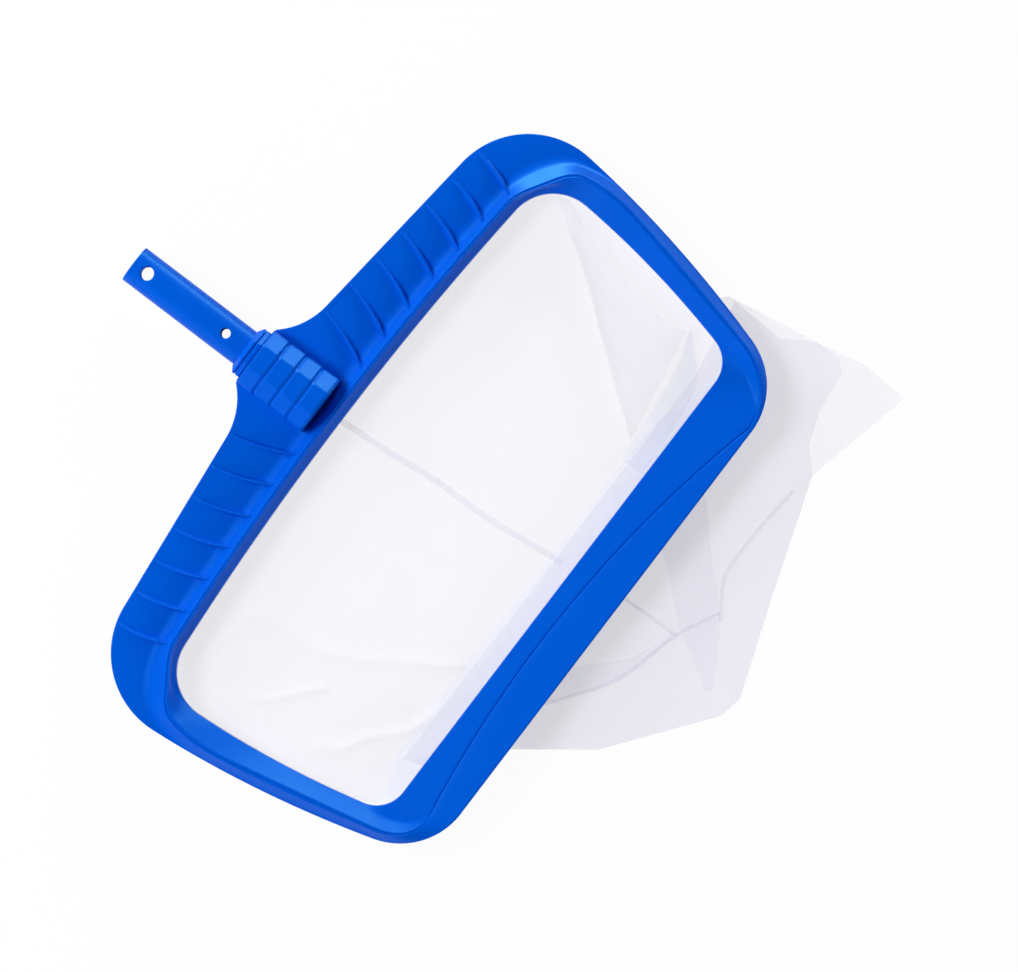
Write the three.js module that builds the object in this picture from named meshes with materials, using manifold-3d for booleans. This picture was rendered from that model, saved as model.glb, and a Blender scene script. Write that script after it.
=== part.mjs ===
// Swimming-pool leaf rake: a moulded scoop frame with a ribbed handle socket, a spigot for a telescopic
// pole, and a fine mesh bag whose hem is clamped in a channel under the mouth ring.
// Millimetres. +Y runs along the handle, -Y to the scoop lip, +X to the right seen from above, +Z up.
// The origin is the middle of the flat under the handle socket, on the surface that the rake lies on.
import * as THREE from "three";
import { mergeVertices } from "three/addons/utils/BufferGeometryUtils.js";
import Module from "manifold-3d";

const wasm = await Module();
wasm.setup();
const { lerp, clamp, degToRad, smoothstep } = THREE.MathUtils;

// Clearance between pieces that seat on each other
const GAP = 0.3;

// Pole spigot
const TUBE_DIAMETER = 28.5;
const TUBE_WALL = 2.6;
const TUBE_REACH = 109.1; // free length behind the socket
const BUTTON_HOLE_DIAMETER = 10.2;
const BUTTON_HOLE_INSET = 12.2; // from the free end
const PIN_HOLE_DIAMETER = 7.3;
const PIN_HOLE_INSET = 82.8; // from the free end

// Handle socket, eight-sided, split at the spigot's axis
const SOCKET_WALL = 8.75; // spigot to the flats
const SOCKET_LENGTH = 59.4;
const SOCKET_REAR_Y = 29.5;
const SOCKET_END_WALL = 3.6;
const RIDGE_COUNT = 4;
const RIDGE_DEPTH = 1.3;
const COLLAR_LENGTH = 8.7;
const COLLAR_WALL = 5.25; // spigot to the collar's flats
const COLLAR_PROFILE = [
  [0, 0.96],
  [0.1, 1],
  [0.36, 1],
  [0.41, 0.78],
  [0.48, 0.78],
  [0.53, 1],
  [0.66, 1],
  [1, 0.22],
]; // along the collar's length, share of its wall
const SLOT_HALF_WIDTH = 20; // crescent opening in front of the socket
const SLOT_DEPTH = 4.4;

// Plan of the mouth: a bowed rear edge, a straight front edge, and sides that bow outwards
const MOUTH_REAR_Y = -47.3;
const MOUTH_DEPTH = 196.4; // rear edge to front edge on the centre line
const MOUTH_REAR_SAG = 7.6; // the rear edge falls this much over its reach
const MOUTH_REAR_REACH = 190;
const MOUTH_REAR_HALF_WIDTH = 231.9; // the side's rear end, level with the rear edge
const MOUTH_FRONT_HALF_WIDTH = 203.5; // the side's front end, level with the front edge
const MOUTH_REAR_BOW = degToRad(4.63); // between the side's rear tangent and the line from end to end
const MOUTH_FRONT_BOW = degToRad(5.97);
const MOUTH_REAR_RADIUS = 36;
const MOUTH_FRONT_RADIUS = 24;

// Plan of the frame outside the mouth
const LIP_DEPTH = 42.1;
const SIDE_BAND_REAR = 28.4; // between the rear ends of mouth side and outline side
const SIDE_BAND_FRONT = 21.6; // between their front ends
const OUTLINE_REAR_BOW = degToRad(5.06);
const OUTLINE_FRONT_BOW = degToRad(6.54);
const WING_DEPTH = 64.8; // mouth to outline on the centre line
const WING_SLOPE = Math.tan(degToRad(6.14));
const WING_RADIUS = 65;
const LIP_RADIUS = 55;
const SHOULDER_REACH = 34; // concave shoulder from the socket along the wing
const SHOULDER_OVERHANG = 0.7; // the shoulder starts this far outside the socket's flat
const SHOULDER_BEND = 0.4; // share of its reach where the shoulder turns along the wing
const SHOULDER_DIP = 0.5; // the turn lies this far inside the wing's straight edge

// Heights of the frame
const BAG_ROOM = 11; // floor to the underside of the ring
const WING_HEIGHT = 9; // underside of the ring to the top of the wings
const CREST_HEIGHT = 19; // underside of the ring to its crest
const EDGE_HEIGHT = 7; // underside of the ring to the mouth's edge, rear and sides
const LIP_REAR_HEIGHT = 9; // the same, along the lip
const LIP_EDGE_HEIGHT = 18.5; // underside of the ring to the lip's leading edge

// Section of the ring
const FRAME_WALL = 3;
const WING_THICKNESS = 3.5;
const LIP_EDGE_THICKNESS = 2.2;
const REAR_WALL_DEPTH = 4; // steep inner wall at the rear, in plan
const REAR_WALL_RISE = 0.6; // its share of the height from the mouth's edge to the crest
const SIDE_WALL_SHARE = 1 / 3; // the side's first third rises by a third
const REAR_CREST_IN = 6.2; // mouth to crest at the rear
const REAR_SLOPE = 7.6; // crest to wing in plan
const SIDE_CREST_IN = 18; // mouth to crest where the side starts
const SIDE_CREST_OUT = 8.4; // crest to outline along the side
const SIDE_CREST_SWING = 0.25; // share of the side over which the crest moves out there
const CREST_WIDTH = 2.3;
const SIDE_RIM = 1.2; // bead left of the wing along the side
const CREASE_MIDDLE = 13; // mouth to the lip's crease on the centre line
const CREASE_RISE = 29; // how far the crease moves out at its reach
const CREASE_REACH = 190;
const CREASE_WIDTH = 0.9;
const CREASE_HEIGHT = 0.4;
const LIP_BEVEL = 1.5;
const CHANNEL_WIDTH = 13; // hem channel at the rear and under the lip

// Gussets on the wings
const GUSSET_COUNT = 7;
const GUSSET_RIM_X = 55.5;
const GUSSET_RIM_PITCH = 26.1;
const GUSSET_ROOT_X = 38.5;
const GUSSET_ROOT_PITCH = 27.2;
const GUSSET_BULGE = 4; // sideways, away from the socket
const GUSSET_THICKNESS = 1.6;
const GUSSET_FOOT = 2.8; // ramp on the socket side
const GUSSET_SETBACK = 0.33; // each gusset starts this much further in from the rim than the one before

// Clamp strips and screws
const STRIP_THICKNESS = 3.6;
const CLAMP_SCREW_SPOTS = [
  ["rear", 0.31],
  ["rear", 0.8],
  ["side", 0.25],
  ["side", 0.75],
  ["front", 0.15],
  ["front", 0.65],
];
const CLAMP_BOSS_RADIUS = 3;
const CLAMP_SHANK_RADIUS = 1.4;
const CLAMP_HEAD_RADIUS = 2.9;
const CLAMP_HEAD_HEIGHT = 1.4;
const COVER_SHANK_RADIUS = 1.6;
const COVER_HEAD_RADIUS = 2.8;
const COVER_HEAD_HEIGHT = 2;
const COVER_SCREW_INSET = 8; // from the socket's ends
const LOCK_SHANK_RADIUS = 2;
const LOCK_HEAD_RADIUS = 4;
const LOCK_HEAD_HEIGHT = 2.5;
const LOCK_SCREW_INSET = 15; // from the socket's front end

// Mesh bag
const CLOTH = 1.2;
const HEM_THICKNESS = 1.4;
const HEM_LEAN = 16; // the hem lies inwards this far along the lip
const HEM_CORD_RADIUS = 1.2;
const HEM_SPLICE = 0.02; // share of the front corner left open where the band meets the lip's hem
const FLOOR_TUCK = 2; // the floor panel reaches this far under the ring
const FLOOR_LEFT_END = 0.9; // share of the left side that the floor panel follows before it turns to the tail
const FLOOR_RIGHT_END = 0.75; // the same on the right
const NECK_LEFT_INSET = 0.1; // the neck's left end, as a share of half the lip from its corner
const NECK_RIGHT_INSET = 0.02; // the same on the right
const NECK_HEIGHT = 6.2; // floor to the front panel under the hem
const NECK_SLOPE = 0.09; // rise of the front panel on its way out under the lip
const TAIL_SEAM = 0.35; // share of the way from the neck to the tail
const SEAM_GAP = 0.006; // share between the two panels at the seam
// Bag outline from the left neck round the tail to the right neck: x, and y from the lip's leading edge
const BAG_OUTLINE = [
  [-158, 30.6],
  [-116, 1.6],
  [-76, -51.4],
  [-4, -106.4],
  [14, -110.4],
  [89, -83.4],
  [174, -54.4],
  [258, -73.4],
  [260, -36.4],
  [252, 1.6],
  [238, 24.6],
];
const BAG_LEFT_CORNER = [-196, 34.6];
const BAG_RIGHT_CORNER = [240, 71.6];

// Steps of the curved surfaces
const ZONE_STEPS = { rear: 12, rearCorner: 10, side: 8, frontCorner: 8, front: 8 };
const GUSSET_STEPS = 8;
const RIDGE_STEPS = 6;
const ROUND_SIDES = 40;
const SCREW_SIDES = 12;
const CORD_SIDES = 4;
const BAG_ROWS = 4;
const BAG_STEPS = 2;

// Levels and places that follow from the sizes above
const tubeRadius = TUBE_DIAMETER / 2;
const socketFlat = tubeRadius + SOCKET_WALL;
const axisZ = socketFlat;
const socketFrontY = SOCKET_REAR_Y - SOCKET_LENGTH;
const tubeSeatY = socketFrontY + SOCKET_END_WALL + GAP;
const tubeEndY = SOCKET_REAR_Y + TUBE_REACH;
const mouthFrontY = MOUTH_REAR_Y - MOUTH_DEPTH;
const lipEdgeY = mouthFrontY - LIP_DEPTH;
const wingZ = BAG_ROOM + WING_HEIGHT;
const wingUnderZ = wingZ - WING_THICKNESS;
const crestZ = BAG_ROOM + CREST_HEIGHT;
const edgeZ = BAG_ROOM + EDGE_HEIGHT;
const lipRearZ = BAG_ROOM + LIP_REAR_HEIGHT;
const lipEdgeZ = BAG_ROOM + LIP_EDGE_HEIGHT;
const stripTopZ = BAG_ROOM + STRIP_THICKNESS;

const blue = new THREE.MeshStandardMaterial({ color: 0x0660dc, roughness: 0.32, metalness: 0 });
const steel = new THREE.MeshStandardMaterial({ color: 0xb9bec4, roughness: 0.35, metalness: 1 });
const mesh = new THREE.MeshStandardMaterial({ color: 0xefeef4, roughness: 0.85, metalness: 0 });
const hem = new THREE.MeshStandardMaterial({ color: 0xdfe2f0, roughness: 0.9, metalness: 0 });

// Solids

function solid(geometry) {
  const bare = new THREE.BufferGeometry();
  bare.setAttribute("position", geometry.getAttribute("position"));
  bare.setIndex(geometry.getIndex());
  const merged = mergeVertices(bare, 1e-4);
  return new wasm.Manifold(
    new wasm.Mesh({
      numProp: 3,
      vertProperties: new Float32Array(merged.getAttribute("position").array),
      triVerts: new Uint32Array(merged.getIndex().array),
    }),
  );
}

function geometryOf(body) {
  const data = body.getMesh();
  const geometry = new THREE.BufferGeometry();
  geometry.setAttribute("position", new THREE.BufferAttribute(data.vertProperties, 3));
  geometry.setIndex(new THREE.BufferAttribute(data.triVerts, 1));
  geometry.computeVertexNormals();
  return geometry;
}

// Joins rings of points into one closed body. A closed loft joins the last ring to the first, and an open
// one has a cap at each end: a fan, or a strip for a thin ring that runs out and back. The faces are turned
// outwards by the sign of the volume.
function loft(rings, { closed = false, stripCaps = false } = {}) {
  const size = rings[0].length;
  const points = rings.flat();
  const faces = [];
  const spans = closed ? rings.length : rings.length - 1;
  for (let i = 0; i < spans; i++) {
    const here = i * size;
    const next = ((i + 1) % rings.length) * size;
    for (let j = 0; j < size; j++) {
      const k = (j + 1) % size;
      faces.push([here + j, next + j, next + k], [here + j, next + k, here + k]);
    }
  }
  if (!closed) {
    const last = (rings.length - 1) * size;
    const fan = (j) => [[0, j + 1, j + 2]];
    const strip = (j) => [[j, j + 1, size - 2 - j], [j, size - 2 - j, size - 1 - j]];
    const cells = stripCaps ? size / 2 - 1 : size - 2;
    for (let j = 0; j < cells; j++) {
      for (const [a, b, c] of stripCaps ? strip(j) : fan(j)) {
        faces.push([a, b, c], [last + a, last + c, last + b]);
      }
    }
  }
  const sixfold = faces.reduce((sum, [a, b, c]) => {
    return sum + points[a].dot(new THREE.Vector3().crossVectors(points[b], points[c]));
  }, 0);
  const turned = sixfold < 0 ? faces.map(([a, b, c]) => [a, c, b]) : faces;
  const geometry = new THREE.BufferGeometry().setFromPoints(points);
  geometry.setIndex(turned.flat());
  return solid(geometry);
}

function post(radius, low, high, x, y, sides = SCREW_SIDES) {
  const geometry = new THREE.CylinderGeometry(radius, radius, high - low, sides);
  geometry.rotateX(Math.PI / 2);
  geometry.translate(x, y, (low + high) / 2);
  return solid(geometry);
}

function rod(radius, rear, front) {
  const geometry = new THREE.CylinderGeometry(radius, radius, rear - front, ROUND_SIDES);
  geometry.translate(0, (rear + front) / 2, axisZ);
  return solid(geometry);
}

function plate(shape, low, high) {
  const geometry = new THREE.ExtrudeGeometry(shape, { depth: high - low, bevelEnabled: false });
  geometry.translate(0, 0, low);
  return solid(geometry);
}

function joined(bodies) {
  return bodies.reduce((whole, body) => whole.add(body));
}

// Plan outlines: the right half runs in five zones from the rear centre to the front centre

function fillet(corner, before, after, radius) {
  const u = before.clone().sub(corner).normalize();
  const v = after.clone().sub(corner).normalize();
  const half = Math.acos(u.dot(v)) / 2;
  const start = corner.clone().addScaledVector(u, radius / Math.tan(half));
  const end = corner.clone().addScaledVector(v, radius / Math.tan(half));
  const centre = corner.clone().addScaledVector(u.add(v).normalize(), radius / Math.sin(half));
  const from = start.clone().sub(centre);
  const to = end.clone().sub(centre);
  const turn = Math.atan2(from.cross(to), from.dot(to));
  return { start, end, at: (f) => from.clone().rotateAround(new THREE.Vector2(), f * turn).add(centre) };
}

// The rear edge falls by slope and by the square of x up to its reach, and runs on straight from there. The
// side bows out between two tangents. They start at its ends, level with the mouth's, and turn from the line
// between these ends by the two bow angles.
function outline({ rearY, slope, sag, rearX, frontX, rearBow, frontBow, frontY, rearRadius, frontRadius }) {
  const reach = MOUTH_REAR_REACH;
  const taper = Math.atan2(rearX - frontX, MOUTH_DEPTH);
  const rearTaper = taper - rearBow;
  const frontTaper = taper + frontBow;
  const bow = (x) => (x < reach ? x * x : reach * (2 * x - reach));
  const edge = (x) => rearY - slope * x - sag * bow(x);
  const rearTangent = (y) => new THREE.Vector2(rearX + (y - MOUTH_REAR_Y) * Math.tan(rearTaper), y);
  const frontTangent = (y) => new THREE.Vector2(frontX + (y - mouthFrontY) * Math.tan(frontTaper), y);
  const turn = Math.tan(frontTaper) - Math.tan(rearTaper);
  const bend = rearTangent((rearTangent(0).x - frontTangent(0).x) / turn);
  let rearCorner = rearTangent(rearY);
  for (let i = 0; i < 20; i++) rearCorner = rearTangent(edge(rearCorner.x));
  const frontCorner = frontTangent(frontY);
  const rear = fillet(rearCorner, new THREE.Vector2(reach, edge(reach)), bend, rearRadius);
  const front = fillet(frontCorner, bend, new THREE.Vector2(0, frontY), frontRadius);
  const side = new THREE.QuadraticBezierCurve(rear.end, bend, front.start);
  const zones = {
    rear: (f) => new THREE.Vector2(f * rear.start.x, edge(f * rear.start.x)),
    rearCorner: rear.at,
    side: (f) => side.getPoint(f),
    frontCorner: front.at,
    front: (f) => front.end.clone().lerp(new THREE.Vector2(0, frontY), f),
  };
  return { at: (zone, f) => zones[zone](f), edge };
}

const mouth = outline({
  rearY: MOUTH_REAR_Y,
  slope: 0,
  sag: MOUTH_REAR_SAG / MOUTH_REAR_REACH ** 2,
  rearX: MOUTH_REAR_HALF_WIDTH,
  frontX: MOUTH_FRONT_HALF_WIDTH,
  rearBow: MOUTH_REAR_BOW,
  frontBow: MOUTH_FRONT_BOW,
  frontY: mouthFrontY,
  rearRadius: MOUTH_REAR_RADIUS,
  frontRadius: MOUTH_FRONT_RADIUS,
});
const rim = outline({
  rearY: MOUTH_REAR_Y + WING_DEPTH,
  slope: WING_SLOPE,
  sag: 0,
  rearX: MOUTH_REAR_HALF_WIDTH + SIDE_BAND_REAR,
  frontX: MOUTH_FRONT_HALF_WIDTH + SIDE_BAND_FRONT,
  rearBow: OUTLINE_REAR_BOW,
  frontBow: OUTLINE_FRONT_BOW,
  frontY: lipEdgeY,
  rearRadius: WING_RADIUS,
  frontRadius: LIP_RADIUS,
});

// A place round the mouth: its point on the mouth, its point on the outline, and how far it belongs to the
// rear, the sides and the lip. Hand is 1 on the right and -1 on the left.
function station(zone, f, hand) {
  const inner = mouth.at(zone, f);
  const outer = rim.at(zone, f);
  inner.x *= hand;
  outer.x *= hand;
  const ease = smoothstep(f, 0, 1);
  const rear = { rear: 1, rearCorner: 1 - ease }[zone] ?? 0;
  const front = { front: 1, frontCorner: ease }[zone] ?? 0;
  const along = { side: f, frontCorner: 1, front: 1 }[zone] ?? 0;
  return { inner, outer, rear, front, side: 1 - rear - front, along, span: inner.distanceTo(outer) };
}

function blend(spot, rear, side, front) {
  return spot.rear * rear + spot.side * side + spot.front * front;
}

// A point d millimetres out from the mouth at a station
function place(spot, d, z) {
  const plan = spot.inner.clone().lerp(spot.outer, d / spot.span);
  return new THREE.Vector3(plan.x, plan.y, z);
}

// Stations along the right half, its ends included, and the same mirrored
function halfLoop(hand) {
  const spots = Object.entries(ZONE_STEPS).flatMap(([zone, steps]) => {
    return Array.from({ length: steps }, (_, i) => station(zone, i / steps, hand));
  });
  return [...spots, station("front", 1, hand)];
}

function fullLoop() {
  return [...halfLoop(1), ...halfLoop(-1).reverse().slice(1, -1)];
}

// The stations along one straight zone, without the one beside a corner, where the strips stop
function straightRun(zone, hand) {
  const steps = ZONE_STEPS[zone];
  const first = zone === "rear" ? 0 : 1;
  const last = zone === "front" ? steps : steps - 1;
  return Array.from({ length: last - first + 1 }, (_, i) => station(zone, (first + i) / steps, hand));
}

// Mouth ring, lip and wings: one section carried round the mouth

function lipZ(spot, d) {
  return lerp(lipRearZ, lipEdgeZ, d / spot.span);
}

// Top of the section as distance and height, from the mouth's edge to the outline
function topLine(spot) {
  const { span } = spot;
  const sideCrest = lerp(SIDE_CREST_IN, span - SIDE_CREST_OUT, Math.min(1, spot.along / SIDE_CREST_SWING));
  const crease = CREASE_MIDDLE + CREASE_RISE * (spot.inner.x / CREASE_REACH) ** 2;
  const lipCrest = Math.min(crease, span - 2 * LIP_BEVEL - CREASE_WIDTH);
  const crestIn = blend(spot, REAR_CREST_IN, sideCrest, lipCrest);
  const crestOut = crestIn + blend(spot, CREST_WIDTH, CREST_WIDTH, CREASE_WIDTH);
  const sideFoot = Math.min(crestOut + REAR_SLOPE, span - SIDE_RIM);
  const foot = blend(spot, crestOut + REAR_SLOPE, sideFoot, span - LIP_BEVEL);
  const crest = blend(spot, crestZ, crestZ, lipZ(spot, crestIn) + CREASE_HEIGHT);
  const rearWallZ = lerp(edgeZ, crestZ, REAR_WALL_RISE);
  const sideWallZ = lerp(edgeZ, crestZ, SIDE_WALL_SHARE);
  const wall = blend(spot, REAR_WALL_DEPTH, sideCrest * SIDE_WALL_SHARE, crestIn / 2);
  return [
    [0, blend(spot, edgeZ, edgeZ, lipRearZ)],
    [wall, blend(spot, rearWallZ, sideWallZ, lipZ(spot, wall))],
    [crestIn, crest],
    [crestOut, crest],
    [foot, blend(spot, wingZ, wingZ, lipZ(spot, foot))],
    [span, blend(spot, wingZ, wingZ, lipEdgeZ - LIP_EDGE_THICKNESS / 4)],
  ];
}

function heightAt(line, d) {
  const i = clamp(line.findIndex((point) => point[0] > d), 1, line.length - 1);
  const [d0, z0] = line[i - 1];
  const [d1, z1] = line[i];
  return lerp(z0, z1, (d - d0) / (d1 - d0));
}

// Inner and outer face of the skirt that closes the hem channel
function skirt(spot, line) {
  const foot = line[4][0];
  const lipSkirt = 2 * FRAME_WALL + CHANNEL_WIDTH;
  const outside = blend(spot, foot + FRAME_WALL, foot, lipSkirt);
  return [outside - FRAME_WALL, outside];
}

function ringSection(spot) {
  const line = topLine(spot);
  const [skirtIn, skirtOut] = skirt(spot, line);
  const crestIn = line[2][0];
  const roofIn = blend(spot, crestIn, crestIn, CHANNEL_WIDTH / 2);
  const edgeThickness = blend(spot, WING_THICKNESS, WING_THICKNESS, LIP_EDGE_THICKNESS);
  const under = blend(spot, wingUnderZ, wingUnderZ, heightAt(line, skirtOut) - FRAME_WALL);
  const headroom = heightAt(line, FRAME_WALL) - (2 / 3) * FRAME_WALL;
  const wallHead = blend(spot, stripTopZ + GAP, headroom, headroom);
  return [
    ...line,
    [spot.span, line[5][1] - edgeThickness],
    [skirtOut, under],
    [skirtOut, BAG_ROOM],
    [skirtIn, BAG_ROOM],
    [skirtIn, heightAt(line, skirtIn) - FRAME_WALL],
    [roofIn, heightAt(line, roofIn) - FRAME_WALL],
    [FRAME_WALL, wallHead],
    [FRAME_WALL, BAG_ROOM],
    [0, BAG_ROOM],
  ].map(([d, z]) => place(spot, d, z));
}

// Concave shoulders from the socket's rear corners down to the wings
function shoulders() {
  const half = socketFlat + SHOULDER_OVERHANG;
  const bendX = half + SHOULDER_REACH * SHOULDER_BEND;
  const bendY = rim.edge(half) - SHOULDER_DIP;
  const tip = half + SHOULDER_REACH;
  const shape = new THREE.Shape();
  shape.moveTo(-half, SOCKET_REAR_Y);
  shape.lineTo(half, SOCKET_REAR_Y);
  shape.quadraticCurveTo(bendX, bendY, tip, rim.edge(tip));
  shape.lineTo(tip, socketFrontY);
  shape.lineTo(-tip, socketFrontY);
  shape.lineTo(-tip, rim.edge(tip));
  shape.quadraticCurveTo(-bendX, bendY, -half, SOCKET_REAR_Y);
  return plate(shape, wingUnderZ, wingZ);
}

// One gusset: a curved fin that rises from the wing's rim to the ring, upright on its outer side
function gusset(index, hand) {
  const rimX = GUSSET_RIM_X + index * GUSSET_RIM_PITCH;
  const rootX = GUSSET_ROOT_X + index * GUSSET_ROOT_PITCH;
  const rootReach = REAR_CREST_IN + CREST_WIDTH + REAR_SLOPE / 3;
  const start = new THREE.Vector2(rimX, rim.edge(rimX) - GUSSET_THICKNESS - index * GUSSET_SETBACK);
  const end = new THREE.Vector2(rootX, mouth.edge(rootX) + rootReach);
  const middle = start.clone().lerp(end, 0.5).add(new THREE.Vector2(GUSSET_BULGE, 0));
  const path = new THREE.QuadraticBezierCurve(start, middle, end);
  const rings = Array.from({ length: GUSSET_STEPS + 1 }, (_, i) => {
    const f = i / GUSSET_STEPS;
    const spot = path.getPoint(f);
    const along = path.getTangent(f);
    const inwards = new THREE.Vector2(along.y, -along.x);
    const top = lerp(wingZ + GUSSET_THICKNESS / 4, crestZ - REAR_SLOPE / 2, f);
    const section = [
      [-GUSSET_THICKNESS / 2, wingZ - WING_THICKNESS / 2],
      [-GUSSET_THICKNESS / 2, top],
      [GUSSET_THICKNESS / 2, top],
      [GUSSET_THICKNESS / 2 + GUSSET_FOOT * f, wingZ - WING_THICKNESS / 2],
    ];
    return section.map(([offset, z]) => {
      return new THREE.Vector3(hand * (spot.x + inwards.x * offset), spot.y + inwards.y * offset, z);
    });
  });
  return loft(rings);
}

// Eight-sided section of the socket at a distance y along the spigot
function octagon(flat, y) {
  const corner = flat * Math.tan(Math.PI / 8);
  const corners = [
    [flat, corner],
    [corner, flat],
    [-corner, flat],
    [-flat, corner],
    [-flat, -corner],
    [-corner, -flat],
    [corner, -flat],
    [flat, -corner],
  ];
  return corners.map(([x, z]) => new THREE.Vector3(x, y, axisZ + z));
}

function halfSpace(low, high) {
  const reach = 4 * socketFlat;
  const geometry = new THREE.BoxGeometry(reach, reach, high - low);
  geometry.translate(0, SOCKET_REAR_Y - SOCKET_LENGTH / 2, (low + high) / 2);
  return solid(geometry);
}

function cradle() {
  const barrel = loft([octagon(socketFlat, SOCKET_REAR_Y), octagon(socketFlat, socketFrontY)]);
  return barrel.intersect(halfSpace(-socketFlat, axisZ - GAP / 2));
}

function socketBore() {
  return rod(tubeRadius + GAP, SOCKET_REAR_Y + COLLAR_LENGTH * 2, tubeSeatY - GAP);
}

// Crescent opening between the socket's front end and the ring
function crescent() {
  const shape = new THREE.Shape();
  shape.moveTo(-SLOT_HALF_WIDTH, socketFrontY);
  shape.quadraticCurveTo(0, socketFrontY - 2 * SLOT_DEPTH, SLOT_HALF_WIDTH, socketFrontY);
  return plate(shape, stripTopZ + GAP, crestZ + CREST_HEIGHT);
}

// Screws

const coverScrewX = tubeRadius + GAP + (SOCKET_WALL - GAP) / 2;
const coverSeatZ = axisZ - socketFlat * Math.tan(Math.PI / 8);
const coverScrewTopZ = axisZ + SOCKET_WALL;
const coverScrewSpots = [1, -1].flatMap((hand) => {
  const rows = [SOCKET_REAR_Y - COVER_SCREW_INSET, socketFrontY + COVER_SCREW_INSET];
  return rows.map((y) => [hand * coverScrewX, y]);
});
const lockScrewY = socketFrontY + LOCK_SCREW_INSET;
const lockSeatZ = LOCK_HEAD_HEIGHT + 2 * GAP;
const clampSpots = [1, -1].flatMap((hand) => {
  return CLAMP_SCREW_SPOTS.map(([zone, f]) => {
    const spot = station(zone, f, hand);
    const line = topLine(spot);
    const middle = (FRAME_WALL + skirt(spot, line)[0]) / 2;
    const beside = [middle - CLAMP_BOSS_RADIUS, middle + CLAMP_BOSS_RADIUS];
    const roof = Math.min(...beside.map((d) => heightAt(line, d))) - FRAME_WALL / 3;
    const { x, y } = place(spot, middle, 0);
    return { x, y, roof };
  });
});
const clampSeatZ = BAG_ROOM + CLAMP_HEAD_HEIGHT + 2 * GAP;

// A screw on the Z axis, put in head first from below
function screw(shank, head, headHeight, seat, tip) {
  const top = seat - GAP;
  return post(head, top - headHeight, top, 0, 0).add(post(shank, top - headHeight / 2, tip, 0, 0));
}

function clampScrew(roof) {
  const tip = roof - FRAME_WALL / 2 - GAP;
  return screw(CLAMP_SHANK_RADIUS, CLAMP_HEAD_RADIUS, CLAMP_HEAD_HEIGHT, clampSeatZ, tip);
}

function coverScrew() {
  return screw(COVER_SHANK_RADIUS, COVER_HEAD_RADIUS, COVER_HEAD_HEIGHT, coverSeatZ, coverScrewTopZ - GAP);
}

function lockScrew() {
  const tip = axisZ - tubeRadius + 2 * TUBE_WALL;
  return screw(LOCK_SHANK_RADIUS, LOCK_HEAD_RADIUS, LOCK_HEAD_HEIGHT, lockSeatZ, tip);
}

// Pieces

function scoopFrame() {
  const gussets = Array.from({ length: GUSSET_COUNT }, (_, i) => [gusset(i, 1), gusset(i, -1)]).flat();
  const bosses = clampSpots.map(({ x, y, roof }) => post(CLAMP_BOSS_RADIUS, stripTopZ + GAP, roof, x, y));
  const pilots = clampSpots.map(({ x, y, roof }) => {
    return post(CLAMP_SHANK_RADIUS + GAP, BAG_ROOM, roof - FRAME_WALL / 2, x, y);
  });
  const coverHoles = coverScrewSpots.flatMap(([x, y]) => [
    post(COVER_SHANK_RADIUS + GAP, 0, axisZ, x, y),
    post(COVER_HEAD_RADIUS + GAP, -GAP, coverSeatZ, x, y),
  ]);
  const lockHoles = [
    post(LOCK_SHANK_RADIUS + GAP, -GAP, axisZ, 0, lockScrewY),
    post(LOCK_HEAD_RADIUS + GAP, -GAP, lockSeatZ, 0, lockScrewY),
  ];
  const ring = loft(fullLoop().map(ringSection), { closed: true });
  const whole = joined([ring, shoulders(), cradle(), ...gussets, ...bosses]);
  return whole.subtract(joined([socketBore(), crescent(), ...pilots, ...coverHoles, ...lockHoles]));
}

// Ribbed upper half of the socket: each ridge is rounded and meets the next in a sharp groove
function socketCover() {
  const steps = RIDGE_COUNT * RIDGE_STEPS;
  const rings = Array.from({ length: steps + 1 }, (_, i) => {
    const ridge = Math.sqrt(Math.abs(Math.sin((Math.PI * i) / RIDGE_STEPS)));
    const end = i === 0 || i === steps ? 0.5 : 0;
    const flat = socketFlat - RIDGE_DEPTH * (1 - Math.max(ridge, end));
    return octagon(flat, SOCKET_REAR_Y - (SOCKET_LENGTH * i) / steps);
  });
  const upper = loft(rings).intersect(halfSpace(axisZ + GAP / 2, axisZ + 2 * socketFlat));
  const holes = coverScrewSpots.map(([x, y]) => {
    return post(COVER_SHANK_RADIUS + GAP, axisZ - GAP, coverScrewTopZ, x, y);
  });
  return upper.subtract(joined([socketBore(), ...holes]));
}

function neckCollar() {
  const rings = COLLAR_PROFILE.map(([along, wall]) => {
    return octagon(tubeRadius + COLLAR_WALL * wall, SOCKET_REAR_Y + GAP + along * COLLAR_LENGTH);
  });
  return loft(rings).subtract(socketBore());
}

function handleTube() {
  const tube = rod(tubeRadius, tubeEndY, tubeSeatY);
  const bore = rod(tubeRadius - TUBE_WALL, tubeEndY + TUBE_WALL, tubeSeatY - TUBE_WALL);
  const crossHole = (diameter, inset) => {
    return post(diameter / 2, axisZ - TUBE_DIAMETER, axisZ + TUBE_DIAMETER, 0, tubeEndY - inset, ROUND_SIDES);
  };
  const holes = [
    crossHole(BUTTON_HOLE_DIAMETER, BUTTON_HOLE_INSET),
    crossHole(PIN_HOLE_DIAMETER, PIN_HOLE_INSET),
    post(LOCK_SHANK_RADIUS + GAP, 0, axisZ, 0, lockScrewY),
  ];
  return tube.subtract(joined([bore, ...holes]));
}

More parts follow.
